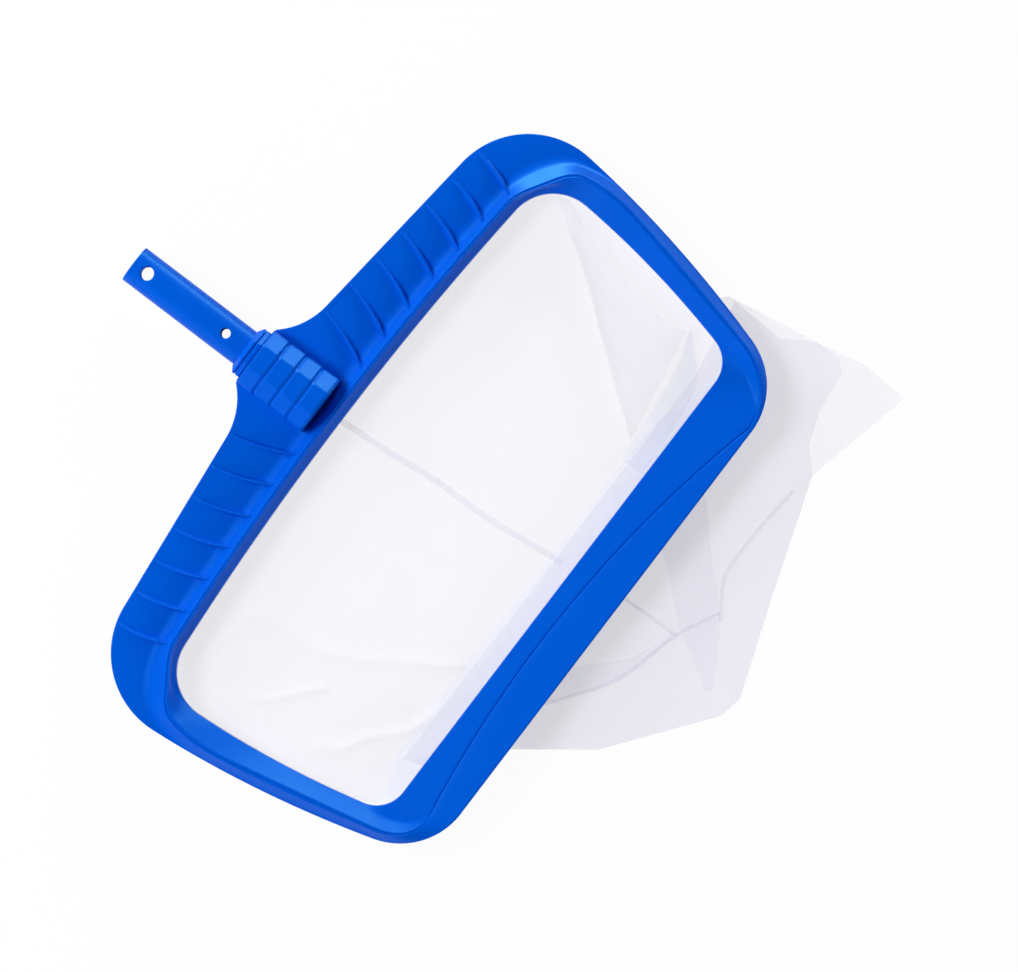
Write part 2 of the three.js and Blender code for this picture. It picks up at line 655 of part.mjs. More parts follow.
function clampStrip(spots) {
  const rings = spots.map((spot) => {
    const far = skirt(spot, topLine(spot))[0] - GAP;
    const near = FRAME_WALL + GAP;
    const section = [
      [near, BAG_ROOM],
      [near, stripTopZ],
      [far, stripTopZ],
      [far, BAG_ROOM],
    ];
    return section.map(([d, z]) => place(spot, d, z));
  });
  const holes = clampSpots.flatMap(({ x, y }) => [
    post(CLAMP_SHANK_RADIUS + GAP, BAG_ROOM - GAP, stripTopZ + GAP, x, y),
    post(CLAMP_HEAD_RADIUS + GAP, BAG_ROOM - GAP, clampSeatZ, x, y),
  ]);
  return loft(rings).subtract(joined(holes));
}

function acrossStrip(zone) {
  const left = straightRun(zone, -1);
  const right = straightRun(zone, 1);
  const spots = zone === "rear" ? [...left.reverse(), ...right.slice(1)] : [...left, ...right.reverse().slice(1)];
  return clampStrip(spots);
}

// Bead cord in the channel, lying on the strips beside the inner wall
function hemCord() {
  const rings = fullLoop().map((spot) => {
    return Array.from({ length: CORD_SIDES }, (_, i) => {
      const angle = (2 * Math.PI * i) / CORD_SIDES;
      const d = FRAME_WALL + 2 * GAP + HEM_CORD_RADIUS * (1 + Math.cos(angle));
      return place(spot, d, stripTopZ + GAP + HEM_CORD_RADIUS * (1 + Math.sin(angle)));
    });
  });
  return loft(rings, { closed: true });
}

// Hem: upright under the ring at the rear, the sides and the front corners, lying inwards along the lip
function hemSection(spot) {
  const near = GAP;
  const far = GAP + HEM_THICKNESS;
  const top = BAG_ROOM - GAP;
  const low = CLOTH + 2 * GAP;
  const leanLow = NECK_HEIGHT + CLOTH + 2 * GAP;
  const section = [
    [near, top],
    [far, top],
    [blend(spot, far, far, far - HEM_LEAN), blend(spot, low, low, leanLow)],
    [blend(spot, near, near, near - HEM_LEAN), blend(spot, low, low, leanLow + CLOTH)],
  ];
  return section.map(([d, z]) => place(spot, d, z));
}

function hemBand() {
  const half = (hand) => {
    const spots = halfLoop(hand).filter((spot) => spot.front < 1);
    return [...spots, station("frontCorner", 1 - HEM_SPLICE, hand)];
  };
  return loft([...half(-1).reverse(), ...half(1).slice(1)].map(hemSection));
}

function lipHem() {
  const steps = ZONE_STEPS.front;
  const half = (hand) => Array.from({ length: steps + 1 }, (_, i) => station("front", i / steps, hand));
  const spots = [...half(-1), ...half(1).reverse().slice(1)];
  return loft(spots.map(hemSection));
}

// Lower panel of the bag, flat on the floor: under the ring's rear and sides, then out to the tail
function netFloorPanel() {
  const left = halfLoop(-1).filter((spot) => spot.front === 0 && spot.along <= FLOOR_LEFT_END);
  const right = halfLoop(1).filter((spot) => spot.front === 0 && spot.along <= FLOOR_RIGHT_END);
  const ringPart = [...left.reverse(), ...right.slice(1)].map((spot) => place(spot, FLOOR_TUCK, 0));
  const tail = [BAG_RIGHT_CORNER, ...BAG_OUTLINE.slice(1, -1).reverse(), BAG_LEFT_CORNER];
  const tailPart = tail.map(([x, y]) => new THREE.Vector2(x, lipEdgeY + y));
  const points = [...ringPart.map(({ x, y }) => new THREE.Vector2(x, y)), ...tailPart];
  return plate(new THREE.Shape(points), 0, CLOTH);
}

// Upper side of the bag between two shares of the way from the neck to the tail. It rises from under the
// leaning hem to the tail seam, and falls from there to the floor panel's edge.
function netUpperPanel(from, to) {
  const columns = (BAG_OUTLINE.length - 1) * BAG_STEPS;
  const neckY = mouthFrontY + HEM_LEAN - HEM_THICKNESS - GAP;
  const neckLeft = station("front", NECK_LEFT_INSET, -1).inner.x;
  const neckRight = station("front", NECK_RIGHT_INSET, 1).inner.x;
  const rimPoint = (v) => {
    const s = v * (BAG_OUTLINE.length - 1);
    const i = Math.min(Math.floor(s), BAG_OUTLINE.length - 2);
    const [x0, y0] = BAG_OUTLINE[i];
    const [x1, y1] = BAG_OUTLINE[i + 1];
    return [lerp(x0, x1, s - i), lipEdgeY + lerp(y0, y1, s - i)];
  };
  const rings = Array.from({ length: columns + 1 }, (_, j) => {
    const v = j / columns;
    const [endX, endY] = rimPoint(v);
    const neckX = lerp(neckLeft, neckRight, v);
    const seamZ = NECK_HEIGHT + NECK_SLOPE * TAIL_SEAM * (neckY - endY);
    const lower = Array.from({ length: BAG_ROWS + 1 }, (_, i) => {
      const u = lerp(from, to, i / BAG_ROWS);
      const rising = lerp(NECK_HEIGHT, seamZ, u / TAIL_SEAM);
      const falling = lerp(seamZ, CLOTH + GAP, (u - TAIL_SEAM) / (1 - TAIL_SEAM));
      return new THREE.Vector3(lerp(neckX, endX, u), lerp(neckY, endY, u), Math.min(rising, falling));
    });
    const upper = lower.map(({ x, y, z }) => new THREE.Vector3(x, y, z + CLOTH));
    return [...lower, ...upper.reverse()];
  });
  return loft(rings, { stripCaps: true });
}

// Assembly

const rake = new THREE.Group();
const handle = new THREE.Group();
const scoop = new THREE.Group();
const bag = new THREE.Group();
rake.add(handle, scoop, bag);

function addPiece(group, name, body, material, x = 0, y = 0) {
  const piece = new THREE.Mesh(geometryOf(body), material);
  piece.name = name;
  piece.position.set(x, y, 0);
  group.add(piece);
}

addPiece(scoop, "scoop_frame", scoopFrame(), blue);
addPiece(scoop, "rear_clamp_strip", acrossStrip("rear"), blue);
addPiece(scoop, "front_clamp_strip", acrossStrip("front"), blue);
addPiece(scoop, "right_clamp_strip", clampStrip(straightRun("side", 1)), blue);
addPiece(scoop, "left_clamp_strip", clampStrip(straightRun("side", -1)), blue);
clampSpots.forEach(({ x, y, roof }, i) => {
  addPiece(scoop, `clamp_screw_${String(i + 1).padStart(2, "0")}`, clampScrew(roof), steel, x, y);
});

addPiece(handle, "socket_cover", socketCover(), blue);
addPiece(handle, "neck_collar", neckCollar(), blue);
addPiece(handle, "handle_tube", handleTube(), blue);
coverScrewSpots.forEach(([x, y], i) => addPiece(handle, `cover_screw_${i + 1}`, coverScrew(), steel, x, y));
addPiece(handle, "tube_lock_screw", lockScrew(), steel, 0, lockScrewY);

addPiece(bag, "hem_cord", hemCord(), hem);
addPiece(bag, "hem_band", hemBand(), hem);
addPiece(bag, "lip_hem", lipHem(), hem);
addPiece(bag, "net_floor_panel", netFloorPanel(), mesh);
addPiece(bag, "net_front_panel", netUpperPanel(0, TAIL_SEAM), mesh);
addPiece(bag, "net_tail_panel", netUpperPanel(TAIL_SEAM + SEAM_GAP, 1), mesh);

export default rake;
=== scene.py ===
"""Looks of a swimming-pool leaf rake: a moulded scoop frame, a pole spigot and a bag of fine mesh.

Metres. +Y runs along the handle, -Y to the scoop lip, +X to the right seen from above, +Z up. The origin is
the middle of the flat under the handle socket, on the surface that the rake lies on.
"""

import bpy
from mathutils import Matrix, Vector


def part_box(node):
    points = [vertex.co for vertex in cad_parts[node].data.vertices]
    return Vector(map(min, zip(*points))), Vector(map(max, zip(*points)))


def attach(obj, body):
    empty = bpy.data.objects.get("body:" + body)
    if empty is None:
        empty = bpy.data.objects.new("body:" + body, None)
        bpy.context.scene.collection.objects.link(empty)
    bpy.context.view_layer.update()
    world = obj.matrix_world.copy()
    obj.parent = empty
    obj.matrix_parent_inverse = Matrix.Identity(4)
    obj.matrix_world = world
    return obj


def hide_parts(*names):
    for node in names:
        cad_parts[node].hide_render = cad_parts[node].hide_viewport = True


bl_info = {
    "name": "Pool leaf rake",
    "version": (1, 0, 0),
    "blender": (4, 5, 0),
    "location": "View3D > Sidebar > Leaf rake",
    "description": "Builds a pool leaf rake with a moulded scoop frame, a pole spigot and a mesh bag",
    "category": "Object",
}

import math
from types import SimpleNamespace

import bmesh
import bpy
import numpy as np
from bpy.props import FloatProperty, FloatVectorProperty, IntProperty, PointerProperty
from mathutils import Matrix

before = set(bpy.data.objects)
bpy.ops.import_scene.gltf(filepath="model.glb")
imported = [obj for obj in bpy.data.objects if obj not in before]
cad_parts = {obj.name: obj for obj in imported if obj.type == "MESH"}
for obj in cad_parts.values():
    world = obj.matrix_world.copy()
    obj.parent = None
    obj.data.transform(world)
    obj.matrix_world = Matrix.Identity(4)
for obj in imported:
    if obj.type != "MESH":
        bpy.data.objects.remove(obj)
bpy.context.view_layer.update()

MM = 0.001
GAP = 0.3 * MM
# Width of the picture in pixels
PHOTO_WIDTH = 1018


def length(name, description, millimetres):
    """A length property, written in millimetres and kept in metres"""
    return FloatProperty(
        name=name, description=description, default=millimetres * MM, unit="LENGTH", precision=5
    )


def angle(name, description, degrees):
    """An angle property, written in degrees"""
    return FloatProperty(name=name, description=description, default=math.radians(degrees), subtype="ANGLE")


def share(name, description, value):
    """A property from 0 to 1"""
    return FloatProperty(name=name, description=description, default=value, min=0, max=1, subtype="FACTOR")


def whole(name, description, number):
    """A property that counts pieces"""
    return IntProperty(name=name, description=description, default=number, min=1)


def linear(code):
    """An sRGB hex colour as linear red, green and blue"""
    channels = np.array([int(code[i : i + 2], 16) for i in (1, 3, 5)]) / 255
    return tuple(np.where(channels <= 0.04045, channels / 12.92, ((channels + 0.055) / 1.055) ** 2.4))


def colour(name, description, code):
    """A colour property, written as an sRGB hex value"""
    return FloatVectorProperty(
        name=name, description=description, default=linear(code), min=0, max=1, size=3, subtype="COLOR"
    )


class FramePlan(bpy.types.PropertyGroup):
    """Plan of the mouth, the frame's outline and its gussets"""

    mouth_rear_y: length("Mouth rear", "Y of the mouth's rear edge on the centre line", -47.3)
    mouth_depth: length("Mouth depth", "Rear edge to front edge on the centre line", 196.4)
    rear_sag: length("Rear sag", "How much the rear edge falls over its reach", 7.6)
    rear_reach: length("Rear reach", "Half width over which the rear edge bows", 190)
    mouth_rear_half: length("Mouth rear half width", "Half width at the side's rear end", 231.9)
    mouth_front_half: length("Mouth front half width", "Half width at the side's front end", 203.5)
    mouth_rear_bow: angle("Mouth rear bow", "Side's rear tangent against the line end to end", 4.63)
    mouth_front_bow: angle("Mouth front bow", "Side's front tangent against the line end to end", 5.97)
    mouth_rear_radius: length("Mouth rear radius", "Radius of the mouth's rear corners", 36)
    mouth_front_radius: length("Mouth front radius", "Radius of the mouth's front corners", 24)
    lip_depth: length("Lip depth", "Mouth to the lip's leading edge", 42.1)
    band_rear: length("Side band rear", "Mouth to outline at the side's rear end", 28.4)
    band_front: length("Side band front", "Mouth to outline at the side's front end", 21.6)
    outline_rear_bow: angle("Outline rear bow", "Outline's rear tangent against the line end to end", 5.06)
    outline_front_bow: angle("Outline front bow", "Outline's front tangent, likewise", 6.54)
    wing_depth: length("Wing depth", "Mouth to outline on the centre line", 64.8)
    wing_slope: angle("Wing slope", "How far the wings fall back", 6.14)
    wing_radius: length("Wing radius", "Radius of the outline's rear corners", 65)
    lip_radius: length("Lip radius", "Radius of the outline's front corners", 55)
    shoulder_reach: length("Shoulder reach", "Concave shoulder from the socket along the wing", 34)
    shoulder_overhang: length("Shoulder overhang", "Shoulder's start outside the socket's flat", 0.7)
    shoulder_bend: share("Shoulder bend", "Share of its reach where the shoulder turns", 0.4)
    shoulder_dip: length("Shoulder dip", "The turn lies this far inside the wing's edge", 0.5)
    slot_half: length("Crescent half width", "Half width of the opening in front of the socket", 20)
    slot_depth: length("Crescent depth", "Depth of that opening in plan", 4.4)
    gusset_count: whole("Gussets", "Gussets on each wing", 7)
    gusset_rim_x: length("Gusset rim", "X of the first gusset at the rim", 55.5)
    gusset_rim_pitch: length("Gusset rim pitch", "From gusset to gusset at the rim", 26.1)
    gusset_root_x: length("Gusset root", "X of the first gusset at the ring", 38.5)
    gusset_root_pitch: length("Gusset root pitch", "From gusset to gusset at the ring", 27.2)
    gusset_bulge: length("Gusset bulge", "Sideways bow of a gusset", 4)
    gusset_thickness: length("Gusset thickness", "Thickness of a gusset's top", 1.6)
    gusset_foot: length("Gusset foot", "Ramp on the socket side at the ring", 2.8)
    gusset_setback: length("Gusset setback", "Each gusset starts this much further in", 0.33)


class FrameSection(bpy.types.PropertyGroup):
    """Heights and wall sizes of the mouth ring"""

    bag_room: length("Bag room", "Floor to the underside of the ring", 11)
    wing_height: length("Wing height", "Underside to the top of the wings", 9)
    crest_height: length("Crest height", "Underside to the crest", 19)
    edge_height: length("Edge height", "Underside to the mouth's edge at rear and sides", 7)
    lip_rear_height: length("Lip rear height", "Underside to the mouth's edge along the lip", 9)
    lip_edge_height: length("Lip edge height", "Underside to the lip's leading edge", 18.5)
    wall: length("Wall", "Wall of the moulding", 3)
    wing_thickness: length("Wing thickness", "Thickness of the wings", 3.5)
    lip_edge_thickness: length("Lip edge thickness", "Thickness of the lip's leading edge", 2.2)
    rear_wall_depth: length("Rear wall depth", "Steep inner wall at the rear in plan", 4)
    rear_wall_rise: share("Rear wall rise", "Its share of the height to the crest", 0.6)
    side_wall_share: share("Side wall share", "Share of the side's inner slope at its knee", 1 / 3)
    rear_crest_in: length("Rear crest", "Mouth to crest at the rear", 6.2)
    rear_slope: length("Rear slope", "Crest to wing in plan", 7.6)
    corner_widening: length("Corner widening", "How much wider the slope is in the rear corners", 5.6)
    side_crest_in: length("Side crest start", "Mouth to crest where the side starts", 16)
    side_crest_out: length("Side crest", "Crest to outline along the side", 11)
    crest_swing: share("Crest swing", "Share of the side over which the crest moves out", 0.25)
    crest_width: length("Crest width", "Flat on the crest at the rear", 2.3)
    side_crest_width: length("Side crest width", "Flat on the crest along the sides", 3.6)
    groove_depth: length("Groove depth", "Depth of the fine groove along the crest", 0.7)
    side_rim: length("Side rim", "Bead in which the wing ends along the side", 1.2)
    crease_middle: length("Crease", "Mouth to the lip's crease on the centre line", 13)
    crease_rise: length("Crease rise", "How far the crease moves out at its reach", 29)
    crease_centre: length("Crease centre", "X at which the crease lies nearest to the mouth", -40)
    crease_reach: length("Crease reach", "Distance from there at which it has moved out", 230)
    crease_width: length("Crease width", "Width of the crease's floor and of each wall", 0.4)
    crease_height: length("Crease height", "Height of the crease over the lip's face", -0.8)
    lip_bevel: length("Lip bevel", "Bevel along the lip's leading edge", 1.5)
    channel_width: length("Channel width", "Hem channel at the rear and under the lip", 13)
    strip_thickness: length("Strip thickness", "Thickness of the clamp strips", 3.6)
    clamp_head: length("Clamp screw head", "Radius of a clamp screw's head", 2.9)
    clamp_shank: length("Clamp screw shank", "Radius of its shank", 1.4)
    clamp_head_height: length("Clamp head height", "Height of its head", 1.4)


class HandleSizes(bpy.types.PropertyGroup):
    """Pole spigot, its socket and its collar"""

    tube_diameter: length("Spigot", "Outside diameter of the pole spigot", 28.5)
    tube_wall: length("Spigot wall", "Wall of the spigot", 2.6)
    tube_end_y: length("Spigot end", "Y of the spigot's free end", 138.6)
    tube_seat_y: length("Spigot seat", "Y of the spigot's end in the socket", -26)
    button_hole: length("Button hole", "Diameter of the large cross hole", 10.2)
    button_inset: length("Button hole inset", "From the spigot's free end", 12.2)
    pin_hole: length("Pin hole", "Diameter of the small cross hole", 7.3)
    pin_inset: length("Pin hole inset", "From the spigot's free end", 82.8)
    socket_flat: length("Socket flat", "Spigot's axis to the socket's flats", 23)
    socket_rear_y: length("Socket rear", "Y of the socket's rear end", 29.5)
    socket_length: length("Socket length", "Length of the socket", 59.4)
    ridge_count: whole("Ridges", "Ridges on the socket cover", 4)
    ridge_depth: length("Ridge depth", "Depth of the grooves between the ridges", 1.7)
    collar_length: length("Collar length", "Length of the stepped collar", 8.7)
    collar_wall: length("Collar wall", "Spigot to the collar's flats", 5.25)
    cover_head: length("Cover screw head", "Radius of a cover screw's head", 2.8)
    cover_shank: length("Cover screw shank", "Radius of its shank", 1.6)
    cover_head_height: length("Cover head height", "Height of its head", 2)
    lock_head: length("Lock screw head", "Radius of the spigot's lock screw head", 4)
    lock_shank: length("Lock screw shank", "Radius of its shank", 2)
    lock_head_height: length("Lock head height", "Height of its head", 2.5)


class BagSizes(bpy.types.PropertyGroup):
    """Mesh bag and its hem"""

    cloth: length("Cloth room", "Room that one layer of cloth takes", 1.2)
    hem_lean: length("Hem lean", "How far the hem lies inwards along the lip", 16)
    hem_thickness: length("Hem thickness", "Thickness of the folded hem", 1.4)
    floor_tuck: length("Floor tuck", "How far the floor panel reaches under the ring", 2)
    neck_height: length("Neck height", "Floor to the upper panel under the hem", 6.2)
    neck_slope: share("Neck slope", "Rise of the upper panel under the lip over its run", 0.09)
    tail_seam: share("Tail seam", "Share of the way from neck to tail where the panel turns down", 0.35)
    seam_width: length("Seam width", "Width of a felled seam", 4.5)
    thread: length("Thread spacing", "Drawn spacing of the mesh's threads", 0.5)


class RakeColours(bpy.types.PropertyGroup):
    """Colours of the rake's materials"""

    plastic: colour("Plastic", "Moulded frame, socket and spigot", "#0058D0")
    plastic_deep: colour("Plastic, deeper", "Where the moulding runs thicker", "#0050C8")
    mesh: colour("Mesh", "Threads of the bag", "#E2DCF2")
    hem: colour("Hem", "Woven band round the bag's mouth", "#E6EBFF")
    fold: colour("Folded mesh", "Mesh where it lies double", "#C4C8F4")
    seam: colour("Seam", "Felled seams of the bag", "#BCC4EA")
    steel: colour("Steel", "Screws", "#C4C8CC")


# Meshes

MERGE_DISTANCE = 0.002 * MM
LEAST_EDGE = 0.001 * MM
NORMAL_WEIGHT = 80


def grid_faces(rows, columns, closed_rows=False, closed_columns=False):
    """Quads of a grid of points, row by row; a closed direction joins its last line to its first"""
    row = np.arange(rows if closed_rows else rows - 1)[:, None]
    column = np.arange(columns if closed_columns else columns - 1)[None, :]
    next_row = (row + 1) % rows
    next_column = (column + 1) % columns
    corners = ((row, column), (row, next_column), (next_row, next_column), (next_row, column))
    return np.stack([down * columns + across for down, across in corners], -1).reshape(-1, 4)


def surface(points, closed_rows=False, closed_columns=False):
    """A patch from an array of rows, columns and xyz"""
    rows, columns = points.shape[:2]
    return points.reshape(-1, 3), grid_faces(rows, columns, closed_rows, closed_columns)


def ring_cap(ring):
    """A flat fan over one ring of points: triangles to an added middle point"""
    here = np.arange(len(ring))
    fan = np.stack([here, np.roll(here, -1), np.full_like(here, len(ring))], -1)
    return np.vstack([ring, ring.mean(0)]), fan


def capped(points):
    """Patches of a tube of closed rings, with a fan over its first and its last ring"""
    return [surface(points, closed_columns=True), ring_cap(points[0]), ring_cap(points[-1])]


def put_mesh(name, patches, turn=True):
    """Joins patches of points and faces into one object at the origin. Points that meet are merged, and the
    faces are turned outwards."""
    offsets = np.cumsum([0] + [len(points) for points, _ in patches])
    points = np.vstack([points for points, _ in patches])
    faces = [row for (_, quads), start in zip(patches, offsets) for row in (quads + start).tolist()]
    mesh = bpy.data.meshes.new(name)
    mesh.from_pydata(points, [], faces)
    build = bmesh.new()
    build.from_mesh(mesh)
    bmesh.ops.remove_doubles(build, verts=build.verts, dist=MERGE_DISTANCE)
    bmesh.ops.dissolve_degenerate(build, edges=build.edges, dist=LEAST_EDGE)
    if turn:
        bmesh.ops.recalc_face_normals(build, faces=build.faces)
    build.to_mesh(mesh)
    build.free()
    mesh.shade_smooth()
    piece = bpy.data.objects.new(name, mesh)
    bpy.context.collection.objects.link(piece)
    return piece


def finish_piece(piece, material, nodes=(), solid=True):
    """Gives a piece its material and its body, and hides the nodes that it stands for. Large faces of a
    solid keep their own normals."""
    piece.data.materials.append(material)
    if solid:
        weighted = piece.modifiers.new("weighted normals", "WEIGHTED_NORMAL")
        weighted.weight = NORMAL_WEIGHT
    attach(piece, "root")
    if nodes:
        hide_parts(*nodes)


# Curves and sections

EDGE_SHARE = 0.45
LEAST_LENGTH = 1e-9


def lerp(a, b, t):
    """Between a and b by the share t"""
    return a + (b - a) * t


def smoothstep(f):
    """Eased share from 0 to 1"""
    return f * f * (3 - 2 * f)


def parabola(start, bend, end, t):
    """Curve from start to end by the share t; the tangents at its ends meet at the bend"""
    return (1 - t) ** 2 * start + 2 * t * (1 - t) * bend + t * t * end


def unit(vectors):
    """Vectors of the same directions and of length 1"""
    return vectors / np.linalg.norm(vectors, axis=-1, keepdims=True)


def circle(turns):
    """Points of a circle of radius 1 at turns in radians"""
    return np.stack([np.cos(turns), np.sin(turns)], -1)


def raised(spots, height):
    """Plan spots and their heights as points"""
    return np.concatenate([spots, height[..., None]], -1)


def sections_of(spots):
    """Sections from a list of corners, each a pair of arrays with a value for every section"""
    return np.stack([np.stack(spot, -1) for spot in spots], 1)


def rounded(corners, radii, steps):
    """Rounds closed sections: at each corner a parabola runs between points that lie the corner's radius
    along its two edges, but never past a share of an edge. Sections are arrays of section, corner and xy."""

    def cut(edge):
        reach = np.linalg.norm(edge, axis=-1)
        way = np.minimum(radii, EDGE_SHARE * reach) / np.maximum(reach, LEAST_LENGTH)
        return (corners + edge * way[..., None])[:, :, None]

    start = cut(np.roll(corners, 1, axis=1) - corners)
    end = cut(np.roll(corners, -1, axis=1) - corners)
    t = np.linspace(0, 1, steps)[:, None]
    return parabola(start, corners[:, :, None], end, t).reshape(len(corners), -1, 2)


# Plan of the frame

ZONE_STEPS = {"rear": 110, "rear_corner": 44, "side": 44, "front_corner": 36, "front": 60}
CORNER_ROUNDS = 20


def fillet(corner, before, after, radius):
    """Arc of a radius between two straight edges: its start, its end and a function of shares"""
    u = unit(before - corner)
    v = unit(after - corner)
    half = math.acos(float(u @ v)) / 2
    start = corner + u * radius / math.tan(half)
    end = corner + v * radius / math.tan(half)
    centre = corner + unit(u + v) * radius / math.sin(half)
    a = start - centre
    b = end - centre
    turn = math.atan2(a[0] * b[1] - a[1] * b[0], float(a @ b))

    def arc(f):
        cos, sin = np.cos(f * turn), np.sin(f * turn)
        return centre + np.stack([cos * a[0] - sin * a[1], sin * a[0] + cos * a[1]], -1)

    return start, end, arc


def outline(plan, rear, halves, bows, front_y, radii):
    """Right half of a plan line in five zones. The rear edge falls with x and its square, then comes a
    fillet, a side that bows out as a parabola between two tangents, a fillet and a straight front edge. The
    rear is a level, a slope and a sag; halves, bows and radii have a rear and a front value each."""
    rear_y, slope, sag = rear
    rear_x, front_x = halves
    reach = plan.rear_reach
    rear_level = plan.mouth_rear_y
    front_level = rear_level - plan.mouth_depth
    taper = math.atan2(rear_x - front_x, plan.mouth_depth)
    rear_lean = math.tan(taper - bows[0])
    front_lean = math.tan(taper + bows[1])

    def edge(x):
        return rear_y - slope * x - sag * np.where(x < reach, x * x, reach * (2 * x - reach))

    def on_rear(y):
        return np.array([rear_x + (y - rear_level) * rear_lean, y])

    def on_front(y):
        return np.array([front_x + (y - front_level) * front_lean, y])

    bend = on_rear((on_rear(0.0)[0] - on_front(0.0)[0]) / (front_lean - rear_lean))
    corner = on_rear(rear_y)
    for _ in range(CORNER_ROUNDS):
        corner = on_rear(float(edge(corner[0])))
    front_middle = np.array([0.0, front_y])
    start, rear_end, rear_arc = fillet(corner, np.array([reach, float(edge(reach))]), bend, radii[0])
    front_start, end, front_arc = fillet(on_front(front_y), bend, front_middle, radii[1])
    return {
        "rear": lambda f: np.stack([f * start[0], edge(f * start[0])], -1),
        "rear_corner": rear_arc,
        "side": lambda f: parabola(rear_end, bend, front_start, f[:, None]),
        "front_corner": front_arc,
        "front": lambda f: end + f[:, None] * (front_middle - end),
        "edge": edge,
    }


def mouth_line(plan):
    """Plan line of the mouth"""
    return outline(
        plan,
        rear=(plan.mouth_rear_y, 0, plan.rear_sag / plan.rear_reach**2),
        halves=(plan.mouth_rear_half, plan.mouth_front_half),
        bows=(plan.mouth_rear_bow, plan.mouth_front_bow),
        front_y=plan.mouth_rear_y - plan.mouth_depth,
        radii=(plan.mouth_rear_radius, plan.mouth_front_radius),
    )


def lip_edge_y(plan):
    """Y of the lip's leading edge"""
    return plan.mouth_rear_y - plan.mouth_depth - plan.lip_depth


def rim_line(plan):
    """Plan line of the frame's outline, without the shoulders"""
    return outline(
        plan,
        rear=(plan.mouth_rear_y + plan.wing_depth, math.tan(plan.wing_slope), 0),
        halves=(plan.mouth_rear_half + plan.band_rear, plan.mouth_front_half + plan.band_front),
        bows=(plan.outline_rear_bow, plan.outline_front_bow),
        front_y=lip_edge_y(plan),
        radii=(plan.wing_radius, plan.lip_radius),
    )


def shoulder_edge(plan, handle, edge, x):
    """The outline's y near the socket: level with the socket's rear end, then a parabola of two tangents
    down to the wing's edge. Its share t follows from x by the quadratic formula."""
    half = handle.socket_flat + plan.shoulder_overhang
    tip = half + plan.shoulder_reach
    bend = plan.shoulder_bend
    way = np.clip((x - half) / plan.shoulder_reach, 0, 1)
    t = (np.sqrt(bend**2 + (1 - 2 * bend) * way) - bend) / (1 - 2 * bend)
    curve = parabola(handle.socket_rear_y, edge(half) - plan.shoulder_dip, edge(tip), t)
    return np.where(x < tip, curve, edge(x))


def stations(plan, handle, zone, f):
    """Places round the right half of the mouth: points on mouth and outline, and weights of rear, side and
    lip that are eased through the corners"""
    inner = mouth_line(plan)[zone](f)
    rim = rim_line(plan)
    outer = rim[zone](f)
    if zone == "rear":
        outer[:, 1] = shoulder_edge(plan, handle, rim["edge"], outer[:, 0])
    ease = smoothstep(f)
    one, none = np.ones_like(f), np.zeros_like(f)
    rear = {"rear": one, "rear_corner": 1 - ease}.get(zone, none)
    front = {"front": one, "front_corner": ease}.get(zone, none)
    along = {"side": f, "front_corner": one, "front": one}.get(zone, none)
    span = np.linalg.norm(outer - inner, axis=1)
    return SimpleNamespace(
        inner=inner, outer=outer, rear=rear, side=1 - rear - front, front=front, along=along, span=span
    )


def joined_runs(runs):
    """Several runs of stations as one"""
    keys = vars(runs[0])
    return SimpleNamespace(**{key: np.concatenate([getattr(run, key) for run in runs]) for key in keys})


def taken(run, keep):
    """Some of a run's stations"""
    return SimpleNamespace(**{key: values[keep] for key, values in vars(run).items()})


def mirrored(run):
    """The same stations on the left, in reverse order"""
    other = taken(run, slice(None, None, -1))
    other.inner = other.inner * [-1, 1]
    other.outer = other.outer * [-1, 1]
    return other


def half_loop(plan, handle):
    """Stations from the rear centre to the front centre, both included"""
    runs = [stations(plan, handle, zone, np.arange(steps) / steps) for zone, steps in ZONE_STEPS.items()]
    return joined_runs(runs + [stations(plan, handle, "front", np.array([1.0]))])


def full_loop(plan, handle):
    """Stations all the way round the mouth"""
    right = half_loop(plan, handle)
    return joined_runs([right, taken(mirrored(right), slice(1, -1))])


def blend(run, rear, side, front):
    """A value that changes from rear to side to lip"""
    return run.rear * rear + run.side * side + run.front * front


def placed(run, section):
    """Sections of distance and height as points: the distance runs from mouth to outline at each station"""
    way = (section[..., 0] / run.span[:, None])[..., None]
    spots = run.inner[:, None] + (run.outer - run.inner)[:, None] * way
    return raised(spots, section[..., 1])


# Section of the mouth ring

# Radii of the ring's corners: mouth's edge, knee and crest with its groove, slope's foot and crescent,
# outline, then back underneath
RING_RADII = MM * np.array([
    0.9, 2.6, 0.7, 0.25, 0.3, 0.25, 1.2,
    5.0, 0.1, 0.1, 0.1, 0.1, 1.1,
    0.9, 1.2, 0.8, 0.8, 1, 1, 1, 0.8, 0.8,
])
RING_STEPS = 5
# Shares of the crest's flat at the groove's inner edge, floor and outer edge
GROOVE_SHARES = (0.25, 0.55, 0.85)
# How far the crescent reaches under the socket, and where the slope's cove ends on the wing
CRESCENT_REACH = 2 * MM
COVE_ROOM = 18 * MM
COVE_END = 0.8
COVE_BACK = 0.85


def lip_z(sec, run, d):
    """Height of the lip's upper face at a distance from the mouth"""
    return sec.bag_room + lerp(sec.lip_rear_height, sec.lip_edge_height, d / run.span)


